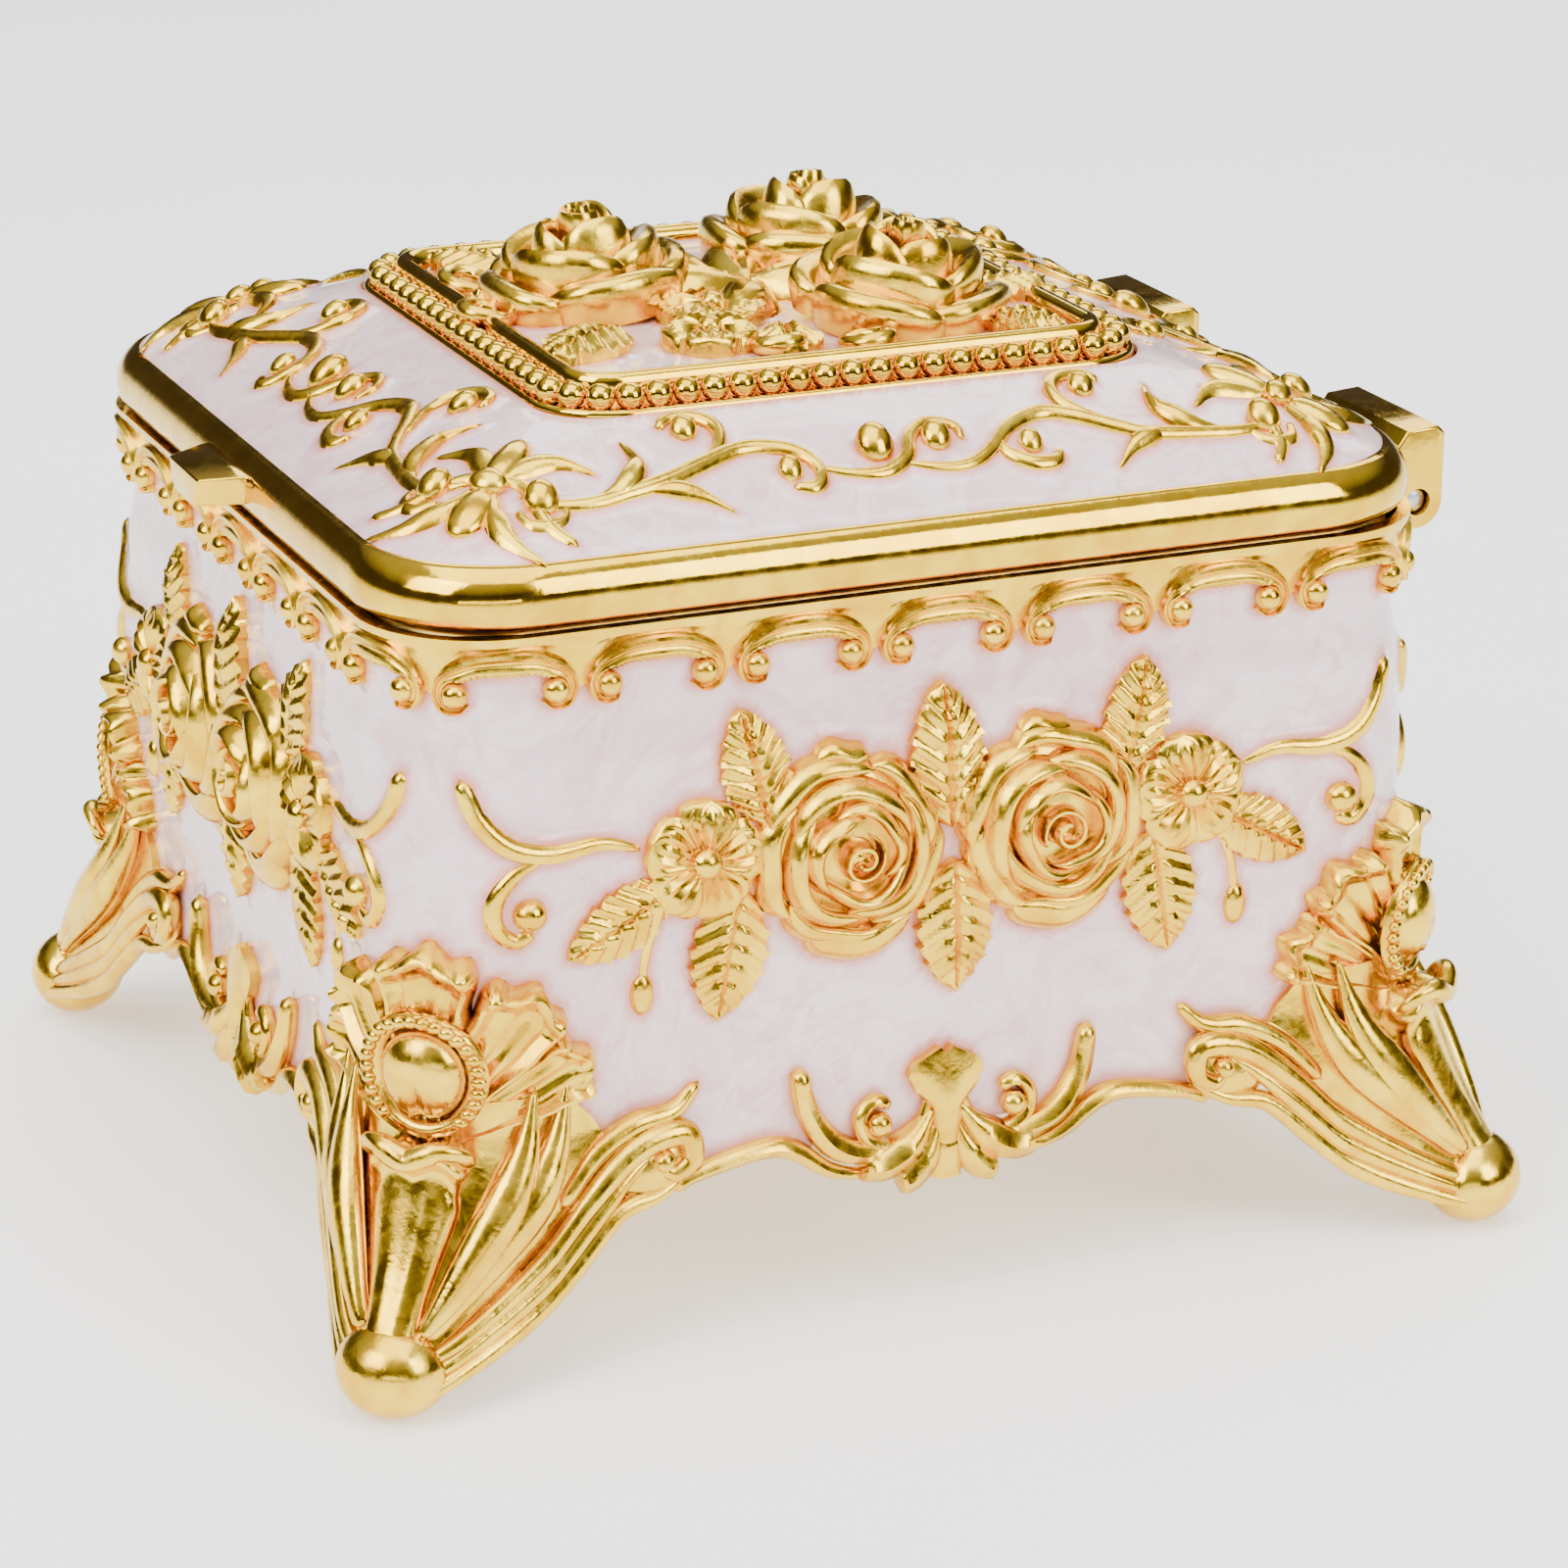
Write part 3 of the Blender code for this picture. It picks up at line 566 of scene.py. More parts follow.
@dataclass(frozen=True)
class PearlEnamel(Finish):
    """Glossy pearl enamel, pulled into pale swirls while wet, with a painted shade of warm pink where it meets a
    casting.
    """

    pearl: tuple[float, float, float] = (0.97, 0.77, 0.775)
    blush: tuple[float, float, float] = (0.74, 0.33, 0.36)
    lilac: tuple[float, float, float] = (0.84, 0.50, 0.57)
    thin: tuple[float, float, float] = (0.78, 0.22, 0.13)

    def brew(self, recipe: Recipe) -> Material:
        """Twisted streaks over a soft drift, flecks of mica, and a painted shade along the castings from the edge
        attribute.
        """
        pull = recipe.node("TexNoise", {"Vector": recipe.place, "Scale": 62.0, "Detail": 2.0, "Distortion": 1.6})
        moved = recipe.node("VectorMath", {0: pull.outputs["Color"], 1: (0.034, 0.034, 0.022)}, operation="MULTIPLY")
        place = recipe.node("VectorMath", {0: recipe.place, 1: moved.outputs[0]}, operation="ADD").outputs[0]
        streak = recipe.noise(4.4, 5.0, 0.8, place)
        wave = recipe.node("TexWave", {"Vector": place, "Scale": 46.0, "Distortion": 9.0, "Detail": 4.0,
                                       "Detail Scale": 2.2, "Detail Roughness": 0.62}, wave_type="BANDS")
        wisps = recipe.ramp(wave.outputs["Fac"], [(0.15, (0, 0, 0)), (0.85, (1, 1, 1))])
        drift = recipe.span(recipe.noise(15.0, 2.0, 0.8), 0.36, 0.66, 0.0, 1.0)
        pale = recipe.span(streak, 0.34, 0.62, 0.42, 1.0)
        colour = recipe.blend(pale, (*self.blush, 1), (*self.pearl, 1))
        colour = recipe.blend(recipe.span(wisps, 0.0, 1.0, 0.0, 0.42), colour, (*self.pearl, 1))
        colour = recipe.blend(recipe.span(drift, 0.0, 1.0, 0.0, 0.42), colour, (*self.lilac, 1))
        mica = recipe.node("TexVoronoi", {"Vector": recipe.place, "Scale": 5200.0}, feature="F1")
        fleck = recipe.span(mica.outputs["Color"], 0.80, 0.95, 0.0, 0.55)
        colour = recipe.blend(fleck, colour, (0.97, 0.90, 0.95, 1))
        # Painted shade: a darker warm pink-orange laid on the enamel where it meets a casting, masked by the edge
        # attribute.
        edge = recipe.node("Attribute", attribute_name="edge").outputs["Fac"]
        colour = recipe.blend(recipe.span(edge, 0.1, 0.95, 0.0, 0.85), colour, (*self.thin, 1))
        ripple = recipe.bump(wisps, 0.25, 0.10)
        ripple = recipe.bump(mica.outputs["Color"], 0.12, 0.02, ripple)
        skin = recipe.bump(recipe.noise(5.5, 2.0, 0.4), 0.22, 0.16)
        return recipe.dress(Base_Color=colour, Roughness=0.32, IOR=1.5, Coat_Weight=1.0, Coat_Roughness=0.04,
                            Sheen_Weight=0.12, Normal=ripple, Coat_Normal=skin)


@dataclass(frozen=True)
class DrawnSteel(Finish):
    """Plain steel wire, drawn along X."""

    def brew(self, recipe: Recipe) -> Material:
        """Fine lines along the wire."""
        squeeze = recipe.node("Mapping", {"Vector": recipe.place, "Scale": (0.1, 1.0, 1.0)}).outputs["Vector"]
        lines = recipe.noise(0.12, 3.0, 0.0, squeeze)
        tone = recipe.ramp(lines, [(0.3, (0.42, 0.42, 0.44)), (0.7, (0.70, 0.70, 0.72))])
        return recipe.dress(Base_Color=tone, Metallic=1.0, Roughness=recipe.span(lines, 0.3, 0.7, 0.25, 0.45),
                            Normal=recipe.bump(lines, 0.25, 0.02))


@dataclass(frozen=True)
class Velvet(Finish):
    """Short pile velvet with a lay that shifts from place to place."""

    pile: tuple[float, float, float] = (0.16, 0.008, 0.025)
    tips: tuple[float, float, float] = (0.28, 0.02, 0.05)

    def brew(self, recipe: Recipe) -> Material:
        """Brushed patches, fine pile and a soft sheen."""
        lay = recipe.noise(6.0, 3.0, 1.0)
        pile = recipe.noise(0.25, 2.0, 0.0)
        colour = recipe.blend(recipe.span(lay, 0.35, 0.65, 0.0, 1.0), (*self.pile, 1), (*self.tips, 1))
        colour = recipe.blend(recipe.span(pile, 0.3, 0.7, 0.0, 0.35), colour, (0.09, 0.004, 0.012, 1))
        return recipe.dress(Base_Color=colour, Roughness=0.92, Sheen_Weight=0.35, Sheen_Roughness=0.4,
                            Normal=recipe.bump(pile, 0.6, 0.12))


@dataclass(frozen=True)
class Tabletop(Finish):
    """Pale, matt studio surface, lit a little from below."""

    glow: float = 0.8

    def brew(self, recipe: Recipe) -> Material:
        """A faint drift of tone."""
        tone = recipe.ramp(recipe.noise(90.0, 2.0), [(0.3, (0.90, 0.90, 0.90)), (0.7, (0.93, 0.93, 0.93))])
        return recipe.dress(Base_Color=tone, Roughness=0.9, Emission_Color=tone, Emission_Strength=self.glow)


RELIEF_GOLD = Gilding("relief_gold", "gold_plate")
BRIGHT_GOLD = Gilding("bright_gold", "gold_plate", deep=(0.70, 0.40, 0.01), light=(0.88, 0.58, 0.035), smoothest=0.05,
                      roughest=0.16, pits=0.17, pit_mm=0.8)
SOFT_GOLD = Gilding("inner_gold", "gold_plate", deep=(0.70, 0.47, 0.10), light=(0.84, 0.64, 0.22), smoothest=0.25,
                    roughest=0.45, pits=0.45, pit_mm=0.6)
ENAMEL = PearlEnamel("swirled_pearl", "pearl_enamel")
STEEL = DrawnSteel("drawn_wire", "pin_steel")
LINING = Velvet("short_velvet", "lining_velvet")


# --------------------------------------------------------------------------------------------------------------
# Motifs carved into the pattern: leaves, flowers, roses, beads
# --------------------------------------------------------------------------------------------------------------


@dataclass(frozen=True)
class Leaf:
    """Toothed rose leaf with a sunk midrib and raised veins; it grows along +X from its base."""

    length: float
    width: float
    height: float = 1.5
    teeth: int = 7
    vein: float = 0.2
    curl: float = 0.35
    sink: float = -0.8

    def make(self) -> BMesh:
        """The leaf, closed at the back."""

        def shape(u: float, v: float) -> Vector:
            """Point of the surface at shares u and v."""
            q = 2 * v - 1
            outline = max(0.0, math.sin(math.pi * u**0.82)) ** 0.72
            notch = 1 - 0.17 * ((u * self.teeth) % 1.0) * smooth(6 * u) * smooth(5 * (1 - u))
            half = self.width / 2 * max(outline * notch, 0.05 * (1 - u))
            rise = self.height * (0.62 + 0.38 * math.sin(math.pi * u)) * (1 - 0.62 * abs(q) ** 1.7)
            rise += self.curl * math.sin(math.pi * (u - 0.15)) * abs(q) ** 3
            ripple = math.cos(math.tau * (u * self.teeth - 0.9 * abs(q)))
            rise += self.vein * ripple * smooth(4 * abs(q)) * smooth(6 * u) * smooth(5 * (1 - u))
            rise -= 0.42 * self.height * math.exp(-((q / 0.1) ** 2)) * smooth(8 * (1 - u))
            return Vector((self.length * (u + 0.05 * abs(q) * math.sin(math.pi * u)), q * half, rise))

        return backed(surface(self.teeth * 6, 16, shape, weld=False), self.sink)


@dataclass(frozen=True)
class PlainLeaf:
    """Smooth lance-shaped leaf with one soft crease; it can hook to one side."""

    length: float
    width: float
    height: float = 1.1
    hook: float = 0.0
    droop: float = 0.0
    sink: float = -0.8

    def make(self) -> BMesh:
        """The leaf, closed at the back."""

        def shape(u: float, v: float) -> Vector:
            """Point of the surface at shares u and v."""
            q = 2 * v - 1
            half = self.width / 2 * (0.22 * (1 - u) + max(0.0, math.sin(math.pi * u**0.9)) ** 0.9)
            rise = self.height * (1 - 0.9 * q * q) * (0.55 + 0.45 * math.sin(math.pi * min(1.0, u * 1.1)))
            rise -= 0.3 * self.height * math.exp(-((q / 0.16) ** 2)) * math.sin(math.pi * u)
            bend = self.hook * u * u
            return Vector((self.length * u - abs(bend) * 0.25 * u, q * half + bend, rise - self.droop * u * u))

        return backed(surface(18, 10, shape, weld=False), self.sink)


@dataclass(frozen=True)
class Blossom:
    """Small open flower: fluted petals round a bead."""

    radius: float = 4.5
    petals: int = 5
    height: float = 1.3
    bead: float = 1.2
    sink: float = -0.8

    def petal(self) -> BMesh:
        """One petal along +X."""
        reach, width = self.radius, 1.78 * self.radius * math.sin(math.pi / self.petals)

        def shape(u: float, v: float) -> Vector:
            """Point of the surface at shares u and v."""
            q = 2 * v - 1
            tip = math.sqrt(max(0.0, 1 - max(0.0, (u - 0.62) / 0.38) ** 2.2))
            half = width / 2 * mix(0.3, 1.0, smooth(u * 1.5)) * tip
            rise = self.height * (0.5 + 0.55 * math.sin(math.pi * (0.1 + 0.75 * u))) * (1 - 0.45 * q * q)
            flute = math.cos(2.5 * math.tau * q) * (1 - abs(q) ** 4)
            rise += 0.15 * self.height * flute * smooth(5 * u) * smooth(2.2 * (1 - u))
            notch = 0.07 * reach * math.exp(-((q / 0.25) ** 2)) * smooth((u - 0.6) / 0.4)
            return Vector((reach * (0.12 + 0.88 * u) - notch, q * half, rise))

        return backed(surface(14, 20, shape, weld=False), self.sink)

    def make(self) -> BMesh:
        """The flower."""
        flower = Casting()
        for i in range(self.petals):
            flower.add(self.petal(), turn=90 + 360 * i / self.petals, at=(0, 0, 0.03 * (i % 2)))
        flower.add(ball((0.45 * self.radius, 0.45 * self.radius, 0.45 * self.height), 16, 8), (0, 0, 0.2))
        flower.add(ball((self.bead, self.bead, self.bead * 0.9), 16, 10), (0, 0, self.height * 0.75))
        return flower.bm


@dataclass(frozen=True)
class PetalRing:
    """One ring of a rose's petals: thick walls with a rounded crest and a full outer face."""

    count: int
    radius: float
    high: float
    wide: float
    span: float
    start: float = 0.0
    skew: float = 0.08
    drop: float = 0.3
    section: tuple[Flat, ...] = (
        (-0.30, 0.0), (-0.40, 0.55), (-0.38, 0.86), (-0.22, 0.97), (0.02, 1.0), (0.30, 0.96), (0.62, 0.83),
        (0.90, 0.60),
        (1.08, 0.30), (1.10, 0.0),
    )

    def petal(self, bearing: float, wobble: float) -> BMesh:
        """One petal.

        Args:
            bearing: Direction of its middle, in degrees.
            wobble: Small change of its height and reach, about 0.

        Returns:
            The petal, closed.
        """
        count = len(self.section)

        def shape(u: float, v: float) -> Vector:
            """Point of the surface at shares u and v."""
            q = 2 * u - 1
            out, share = self.section[round(v * count) % count]
            high = self.high * (1 + 0.04 * wobble) * (1 - self.drop * abs(q) ** 2.6)
            radius = self.radius * (1 + self.skew * q + 0.03 * wobble) + 0.14 * math.sin(5.2 * q + 9 * wobble)
            radius += out * self.wide * (1 - 0.75 * abs(q) ** 5)
            turn = math.radians(bearing + self.span * q)
            return Vector((radius * math.cos(turn), radius * math.sin(turn), mix(-0.5, high, share)))

        wall = surface(24, count, shape)
        bmesh.ops.holes_fill(wall, edges=[e for e in wall.edges if e.is_boundary], sides=0)
        return wall


@dataclass(frozen=True)
class Rose:
    """Full rose, looking up +Z: rings of petals round a wound bud."""

    rings: tuple[PetalRing, ...]
    bud: float
    bud_top: float
    base: tuple[float, float]
    wind: float = 1.6
    crest: float = 0.36
    tall: float = 4.0
    root: float = 1.0

    def make(self, turn: float = 0.0) -> BMesh:
        """The rose.

        Args:
            turn: Turn of the rings of several petals and the bud, in degrees.

        Returns:
            Its mesh, from separate closed petals that meet inside.
        """
        rose = Casting()
        wide, tall = self.base
        rose.add(ball((wide, wide, tall), 32, 12))
        for k, ring in enumerate(self.rings):
            for i in range(ring.count):
                wobble = math.sin(2.3 * i + 1.7 * k + 0.5)
                bearing = ring.start + (turn + 360 * i / ring.count + 6 * wobble if ring.count > 1 else 0)
                rose.add(ring.petal(bearing, wobble))
        path: list[Vector] = []
        steps = 40
        for i in range(steps + 1):
            bearing = math.radians(turn) + math.tau * self.wind * i / steps
            radius = mix(0.35, self.bud, i / steps)
            drop = 0.25 * (i / steps) ** 2
            path.append(Vector((radius * math.cos(bearing), radius * math.sin(bearing),
                                self.bud_top - self.crest * self.tall - drop)))
        rose.add(rod(path, swelling(self.crest, 0.8, 0.7), 10, self.tall))
        rose.add(ball((self.bud, self.bud, self.bud_top - 0.9), 16, 10))
        for vert in rose.bm.verts:
            vert.co.z = max(vert.co.z, -self.root)
        return rose.bm


FLARED: tuple[Flat, ...] = (
    (-0.30, 0.0), (-0.14, 0.50), (0.14, 0.82), (0.42, 0.95), (0.70, 1.0), (0.95, 0.95), (1.08, 0.80), (1.08, 0.55),
    (0.98, 0.28), (0.85, 0.0),
)
WALL_ROSE = Rose(
    rings=(
        PetalRing(5, 5.9, 1.9, 1.15, 42, start=54, skew=0.05, drop=0.25),
        PetalRing(1, 6.35, 1.8, 1.75, 34, start=-84, skew=0.03, drop=0.2),
        PetalRing(1, 6.9, 1.6, 0.95, 17, start=93, skew=0.05, drop=0.4),
        PetalRing(3, 4.45, 2.9, 1.15, 74, start=10, skew=0.09),
        PetalRing(3, 3.0, 3.5, 0.95, 78, start=80, skew=0.12),
    ),
    bud=1.75, bud_top=3.8, base=(6.6, 1.9),
)
LID_ROSE = Rose(
    rings=(
        PetalRing(4, 5.7, 3.3, 2.5, 54, start=20, skew=0.09, drop=0.5, section=FLARED),
        PetalRing(3, 4.2, 5.3, 1.9, 70, start=56, skew=0.12, drop=0.42, section=FLARED),
        PetalRing(3, 2.9, 6.8, 1.2, 78, start=5, skew=0.14, drop=0.34),
    ),
    bud=1.6, bud_top=7.6, base=(7.0, 3.0), crest=0.42, tall=3.6,
)


def bead(radius: float, segments: int = 12, rings: int = 8) -> BMesh:
    """Round bead."""
    return ball((radius, radius, radius), segments, rings)


# --------------------------------------------------------------------------------------------------------------
# The body
# --------------------------------------------------------------------------------------------------------------


@dataclass(frozen=True)
class Wall:
    """The body's wall: a rounded rectangle whose sides belly out and draw in under the lid."""

    half_x: float = 39.2
    half_y: float = 41.6
    corner: float = 9.2
    bottom: float = 13.5
    top: float = 56.6
    profile: tuple[Flat, ...] = ((13.5, 0.2), (20.0, -0.2), (28.0, 0.1), (38.0, 0.4), (45.0, -0.1), (50.0, -0.8),
                                 (56.6, -0.6))

    def swell(self, z: float) -> float:
        """How far the wall stands out at height z."""
        return along(self.profile, z)

    def spans(self, side: Side) -> Flat:
        """Distance of a side from the middle, and half its length."""
        return (self.half_x, self.half_y) if side.value % 2 == 0 else (self.half_y, self.half_x)

    def corner_middle(self, side: Side) -> float:
        """Distance along a side from its middle to the middle of the corner."""
        return self.spans(side)[1] - self.corner + self.corner * math.pi / 4

    def on_side(self, side: Side) -> Callable[[Vector], Vector]:
        """Rule that bends flat work (along, up, out) onto a side and on round the corner."""
        half, deep = self.spans(side)
        straight = deep - self.corner

        def place(p: Vector) -> Vector:
            """A flat point, put in its place."""
            out = self.swell(p.y) + p.z
            past = abs(p.x) - straight
            if past <= 0:
                return side.matrix @ Vector((half + out, p.x, p.y))
            turn = past / self.corner
            reach = self.corner + out
            y = straight + reach * math.sin(turn)
            return side.matrix @ Vector((half - self.corner + reach * math.cos(turn), math.copysign(y, p.x), p.y))

        return place

    def at_corner(self, corner: Corner,
                  splay: Callable[[float, float], float] = lambda x, z: 0.0) -> Callable[[Vector], Vector]:
        """Rule that bends flat work onto a corner, with x along the wall from the corner's middle.

        Args:
            corner: Which corner.
            splay: Extra distance out at a place along and a height, for the legs.

        Returns:
            The rule.
        """
        sx, sy = corner.signs
        centre = Vector((sx * (self.half_x - self.corner), sy * (self.half_y - self.corner), 0))
        turned = Matrix.Rotation(math.radians(45 + 90 * corner.value), 3, "Z")
        bend = self.corner * math.pi / 4

        def place(p: Vector) -> Vector:
            """A flat point, put in its place."""
            extra = splay(p.x, p.y)
            reach = self.corner + self.swell(p.y) + p.z + extra
            x = p.x * self.corner / (self.corner + extra)
            turn = max(-bend, min(bend, x)) / self.corner
            past = abs(x) - min(bend, abs(x))
            if past:
                past = math.copysign(past * (self.corner + extra) / self.corner, x)
            away = Vector((math.cos(turn), math.sin(turn), 0)) * reach
            away += Vector((-math.sin(turn), math.cos(turn), 0)) * past
            flat = centre + turned @ away
            return Vector((flat.x, flat.y, p.y))

        return place

    def ring(self, z: float, out: float, steps: int = 16, along_side: int = 1) -> list[Vector]:
        """Ring round the wall at height z, moved out from the enamel's face."""
        grow = self.swell(z) + out
        return rounded_ring(self.half_x + grow, self.half_y + grow, self.corner + grow, steps, z, along_side)


WALL = Wall()


@dataclass
class BodyCasting:
    """The tub that everything is cast onto, and the enamel fired round it."""

    wall: Wall = WALL
    thick: float = 1.6
    enamel: float = 0.5
    gap: float = 0.3
    floor_top: float = 15.1
    enamel_low: float = 14.2
    enamel_high: float = 55.4
    pool: float = 0.34
    reach: float = 1.1
    rows: int = 74
    corner_steps: int = 22
    side_steps: int = 108

    def tub(self) -> Object:
        """The gilt tub: outer wall, rolled mouth, inner wall and floor."""
        skin = -self.enamel - self.gap
        low, top = self.wall.bottom, self.wall.top
        heights = (low + 0.5, 20.0, 28.0, 38.0, 45.0, 50.0, top - 0.4)
        inner = skin - self.thick
        rings = [self.wall.ring(low, skin - 0.5)]
        rings += [self.wall.ring(z, skin) for z in heights]
        rings += [self.wall.ring(top, skin - 0.4), self.wall.ring(top, inner + 0.4)]
        rings += [self.wall.ring(z, inner) for z in reversed(heights[1:])]
        rings += [self.wall.ring(self.floor_top + 1.0, inner), self.wall.ring(self.floor_top + 0.3, inner - 0.3),
                  self.wall.ring(self.floor_top, inner - 1.0)]
        cast = Casting()
        cast.bm = lofted(rings)
        return cast.store("body_tub", SOFT_GOLD, "box", ["body_shell"], outward=True)

    def fired(self, reliefs: Sequence[BVHTree]) -> Object:
        """The enamel: it climbs a little wherever it meets a casting, and takes a painted warm shade there.

        Args:
            reliefs: The castings it surrounds.

        Returns:
            The enamel band.
        """
        heights = [mix(self.enamel_low, self.enamel_high, i / self.rows) for i in range(self.rows + 1)]
        outer = [self.wall.ring(z, 0.0, self.corner_steps, self.side_steps) for z in heights]
        back = [self.wall.ring(z, -self.enamel, self.corner_steps, self.side_steps) for z in heights[::-2]]
        cast = Casting()
        cast.bm = lofted([*outer, *back], loop=True)
        meet(cast.bm, reliefs, self.pool, self.reach, self.centre_out)
        return cast.store("wall_enamel", ENAMEL, "box", ["body_enamel"], outward=True)

    def centre_out(self, p: Vector) -> Vector:
        """Direction out of the wall at a point."""
        dx = max(0.0, abs(p.x) - (self.wall.half_x - self.wall.corner))
        dy = max(0.0, abs(p.y) - (self.wall.half_y - self.wall.corner))
        away = Vector((math.copysign(dx, p.x), math.copysign(dy, p.y), 0))
        return away.normalized()


def meet(bm: BMesh, reliefs: Sequence[BVHTree], pool: float, reach: float, out: Callable[[Vector], Vector]) -> None:
    """Raises enamel where it meets castings and marks it with the edge attribute, which masks the enamel's painted
    shade.

    Args:
        bm: The enamel.
        reliefs: The castings.
        pool: How high it climbs.
        reach: How far the climb starts from a casting.
        out: Direction out of the enamel at a point.
    """
    edge = bm.verts.layers.float.new("edge")
    for vert in bm.verts:
        near = reach
        for tree in reliefs:
            found = tree.find_nearest(vert.co, near)
            if found[3] is not None:
                near = min(near, found[3])
        share = 1 - near / reach
        # The edge value is the mask for the painted shade along the castings.
        vert[edge] = smooth(share) ** 1.5
        vert.co += out(vert.co) * pool * share * share


@dataclass
class Gallery:
    """Border under the lid: arches of C-scrolls that curl round beads, with a notched rope inside each arch."""

    wall: Wall = WALL
    arches: int = 7
    crest: float = 55.65
    bead_z: float = 52.3
    bead_in: float = 2.0
    top: float = 56.5
    section: tuple[Flat, ...] = ((0.0, 0.75), (0.14, 1.25), (0.26, 1.3), (0.38, 0.95), (0.47, 0.82), (0.6, 1.02),
                                 (0.78, 1.1),
                                 (0.92, 0.9), (1.0, 0.5))
    widths: tuple[Flat, ...] = ((0.0, 0.45), (0.10, 0.62), (0.25, 1.05), (0.38, 1.85), (0.5, 2.15))

    def band(self, pitch: float) -> BMesh:
        """The scrolled band of one arch, flat, with its middle at x = 0."""
        half, hook = pitch / 2 - 0.3, pitch / 2 - self.bead_in
        tall = self.crest - self.bead_z
        outer: list[Flat] = []
        for i in range(7):
            turn = math.radians(90 - 15 * i)
            outer.append((half * math.cos(turn) ** 0.9, self.bead_z + tall * math.sin(turn) ** 0.9))
        outer[-1] = (half, self.bead_z + 0.15)
        for turn in (-38, -72, -106, -140):
            reach = mix(1.72, 1.3, -turn / 140)
            outer.append((hook + reach * math.cos(math.radians(turn)),
                          self.bead_z + reach * math.sin(math.radians(turn))))
        path = flowing([(-x, z) for x, z in outer[:0:-1]] + outer, 4)
        last = len(path) - 1

        def shape(u: float, v: float) -> Vector:
            """Point of the surface at shares u and v."""
            i = round(u * last)
            heading = path[min(i + 1, last)] - path[max(i - 1, 0)]
            side = Vector((heading.y, -heading.x, 0)).normalized()
            width = along(self.widths, min(u, 1 - u))
            rise = along(self.section, v)
            if v > 0.75:
                rise += 0.16 * math.cos(math.pi * i) * smooth((width - 1.1) / 0.5)
            ends = smooth(min(u, 1 - u) / 0.04)
            return path[i] + side * (v * width) + Vector((0, 0, rise * mix(0.6, 1.0, ends)))

        return backed(surface(last, 16, shape, weld=False), 0.02)

    def plate(self, pitch: float) -> BMesh:
        """Gold that fills the border above an arch and between two arches."""
        half = pitch / 2

        def shape(u: float, v: float) -> Vector:
            """Point of the surface at shares u and v."""
            x = mix(-half, half, u)
            low = self.crest - 0.8 - (self.crest - self.bead_z - 0.7) * smooth((abs(x) / half - 0.45) / 0.55) ** 1.2
            y = mix(low, self.top, v)
            rise = 0.62 + 0.42 * smooth((y - self.crest + 0.4) / 0.8) - 0.22 * smooth((self.crest - 1.2 - y) / 2.0)
            return Vector((x, y, rise))

        return backed(surface(18, 6, shape, weld=False), 0.05)

    def build(self) -> Casting:
        """The border round all four sides."""
        whole = Casting()
        for side in Side:
            pitch = 2 * self.wall.corner_middle(side) / self.arches
            flat = Casting()
            for i in range(self.arches):
                x = (i - (self.arches - 1) / 2) * pitch
                flat.add(self.band(pitch), (x, 0, 0))
                flat.add(self.plate(pitch), (x, 0, 0))
                for way in (-1, 1):
                    flat.add(bead(1.0, 14, 9), (x + way * (pitch / 2 - self.bead_in), self.bead_z, 0.75))
            whole.add(flat.bent(self.wall.on_side(side)).bm)
        return whole


@dataclass
class Garland:
    """Two roses, two small flowers, toothed leaves, buds on stems."""

    rose: Rose = WALL_ROSE
    rose_at: Flat = (8.2, 37.6)
    rose_size: float = 1.07
    leaves: tuple[tuple[float, float, float, float, float], ...] = (
        (14.4, 40.2, 78, 9.0, 5.6),
        (16.6, 35.8, -80, 10.4, 6.4),
        (21.6, 36.8, -30, 9.6, 5.2),
    )

    def flat(self) -> Casting:
        """The whole garland in flat coordinates."""
        cast = Casting()
        x, y = self.rose_at
        cast.add(Leaf(11.0, 6.2, 1.9).make(), (0.0, 38.2, 0.0), 92)
        cast.add(Leaf(10.6, 6.4, 1.9).make(), (0.3, 35.6, 0.0), -88)
        for side, turn in ((1, 18), (-1, 200)):
            cast.add(self.rose.make(turn), (side * x, y, 0.1), size=self.rose_size)
        for lx, ly, turn, length, width in self.leaves:
            cast.both(lambda: Leaf(length, width, 1.4).make(), (lx, ly, 0.0), turn)
        cast.both(lambda: Blossom(4.6).make(), (19.6, 38.3, 0.35), 8)
        cast.both(lambda: stem([(21.6, 35.6), (23.2, 33.4), (23.9, 31.0), (24.1, 28.9)], 0.42, 0.6, 0.9), (0, 0, 0))
        cast.both(lambda: ball((0.95, 1.7, 0.8)), (24.15, 28.4, 0.15))
        return cast

    def build(self, side: Side) -> Casting:
        """The garland of one side, in place."""
        return self.flat().bent(WALL.on_side(side))


@dataclass
class CornerTendril:
    """Tendrils that run from a garland's flower to the corner, one each way, with a curl below."""

    main: tuple[Flat, ...] = ((15.6, 39.6), (12.4, 40.5), (8.6, 40.2), (5.6, 41.0), (3.4, 43.2), (2.2, 46.2))
    curl: tuple[Flat, ...] = ((8.8, 40.3), (6.2, 39.2), (4.6, 37.2), (4.5, 35.2), (5.8, 33.9), (7.2, 34.6))
    bud: Flat = (6.9, 35.9)

    def build(self, corner: Corner, way: int) -> Casting:
        """One tendril, in place.

        Args:
            corner: Which corner.
            way: 1 for the wall anticlockwise of the corner, -1 for the other.

        Returns:
            The casting.
        """
        cast = Casting()
        cast.add(stem([(way * x, y) for x, y in self.main], 0.78, 0.5, 0.95, 0.15))
        cast.add(stem([(way * x, y) for x, y in self.curl], 0.72, 0.55, 0.85, 0.15))
        cast.add(bead(1.25, 16, 10), (way * self.bud[0], self.bud[1], 0.35))
        return cast.bent(WALL.at_corner(corner))


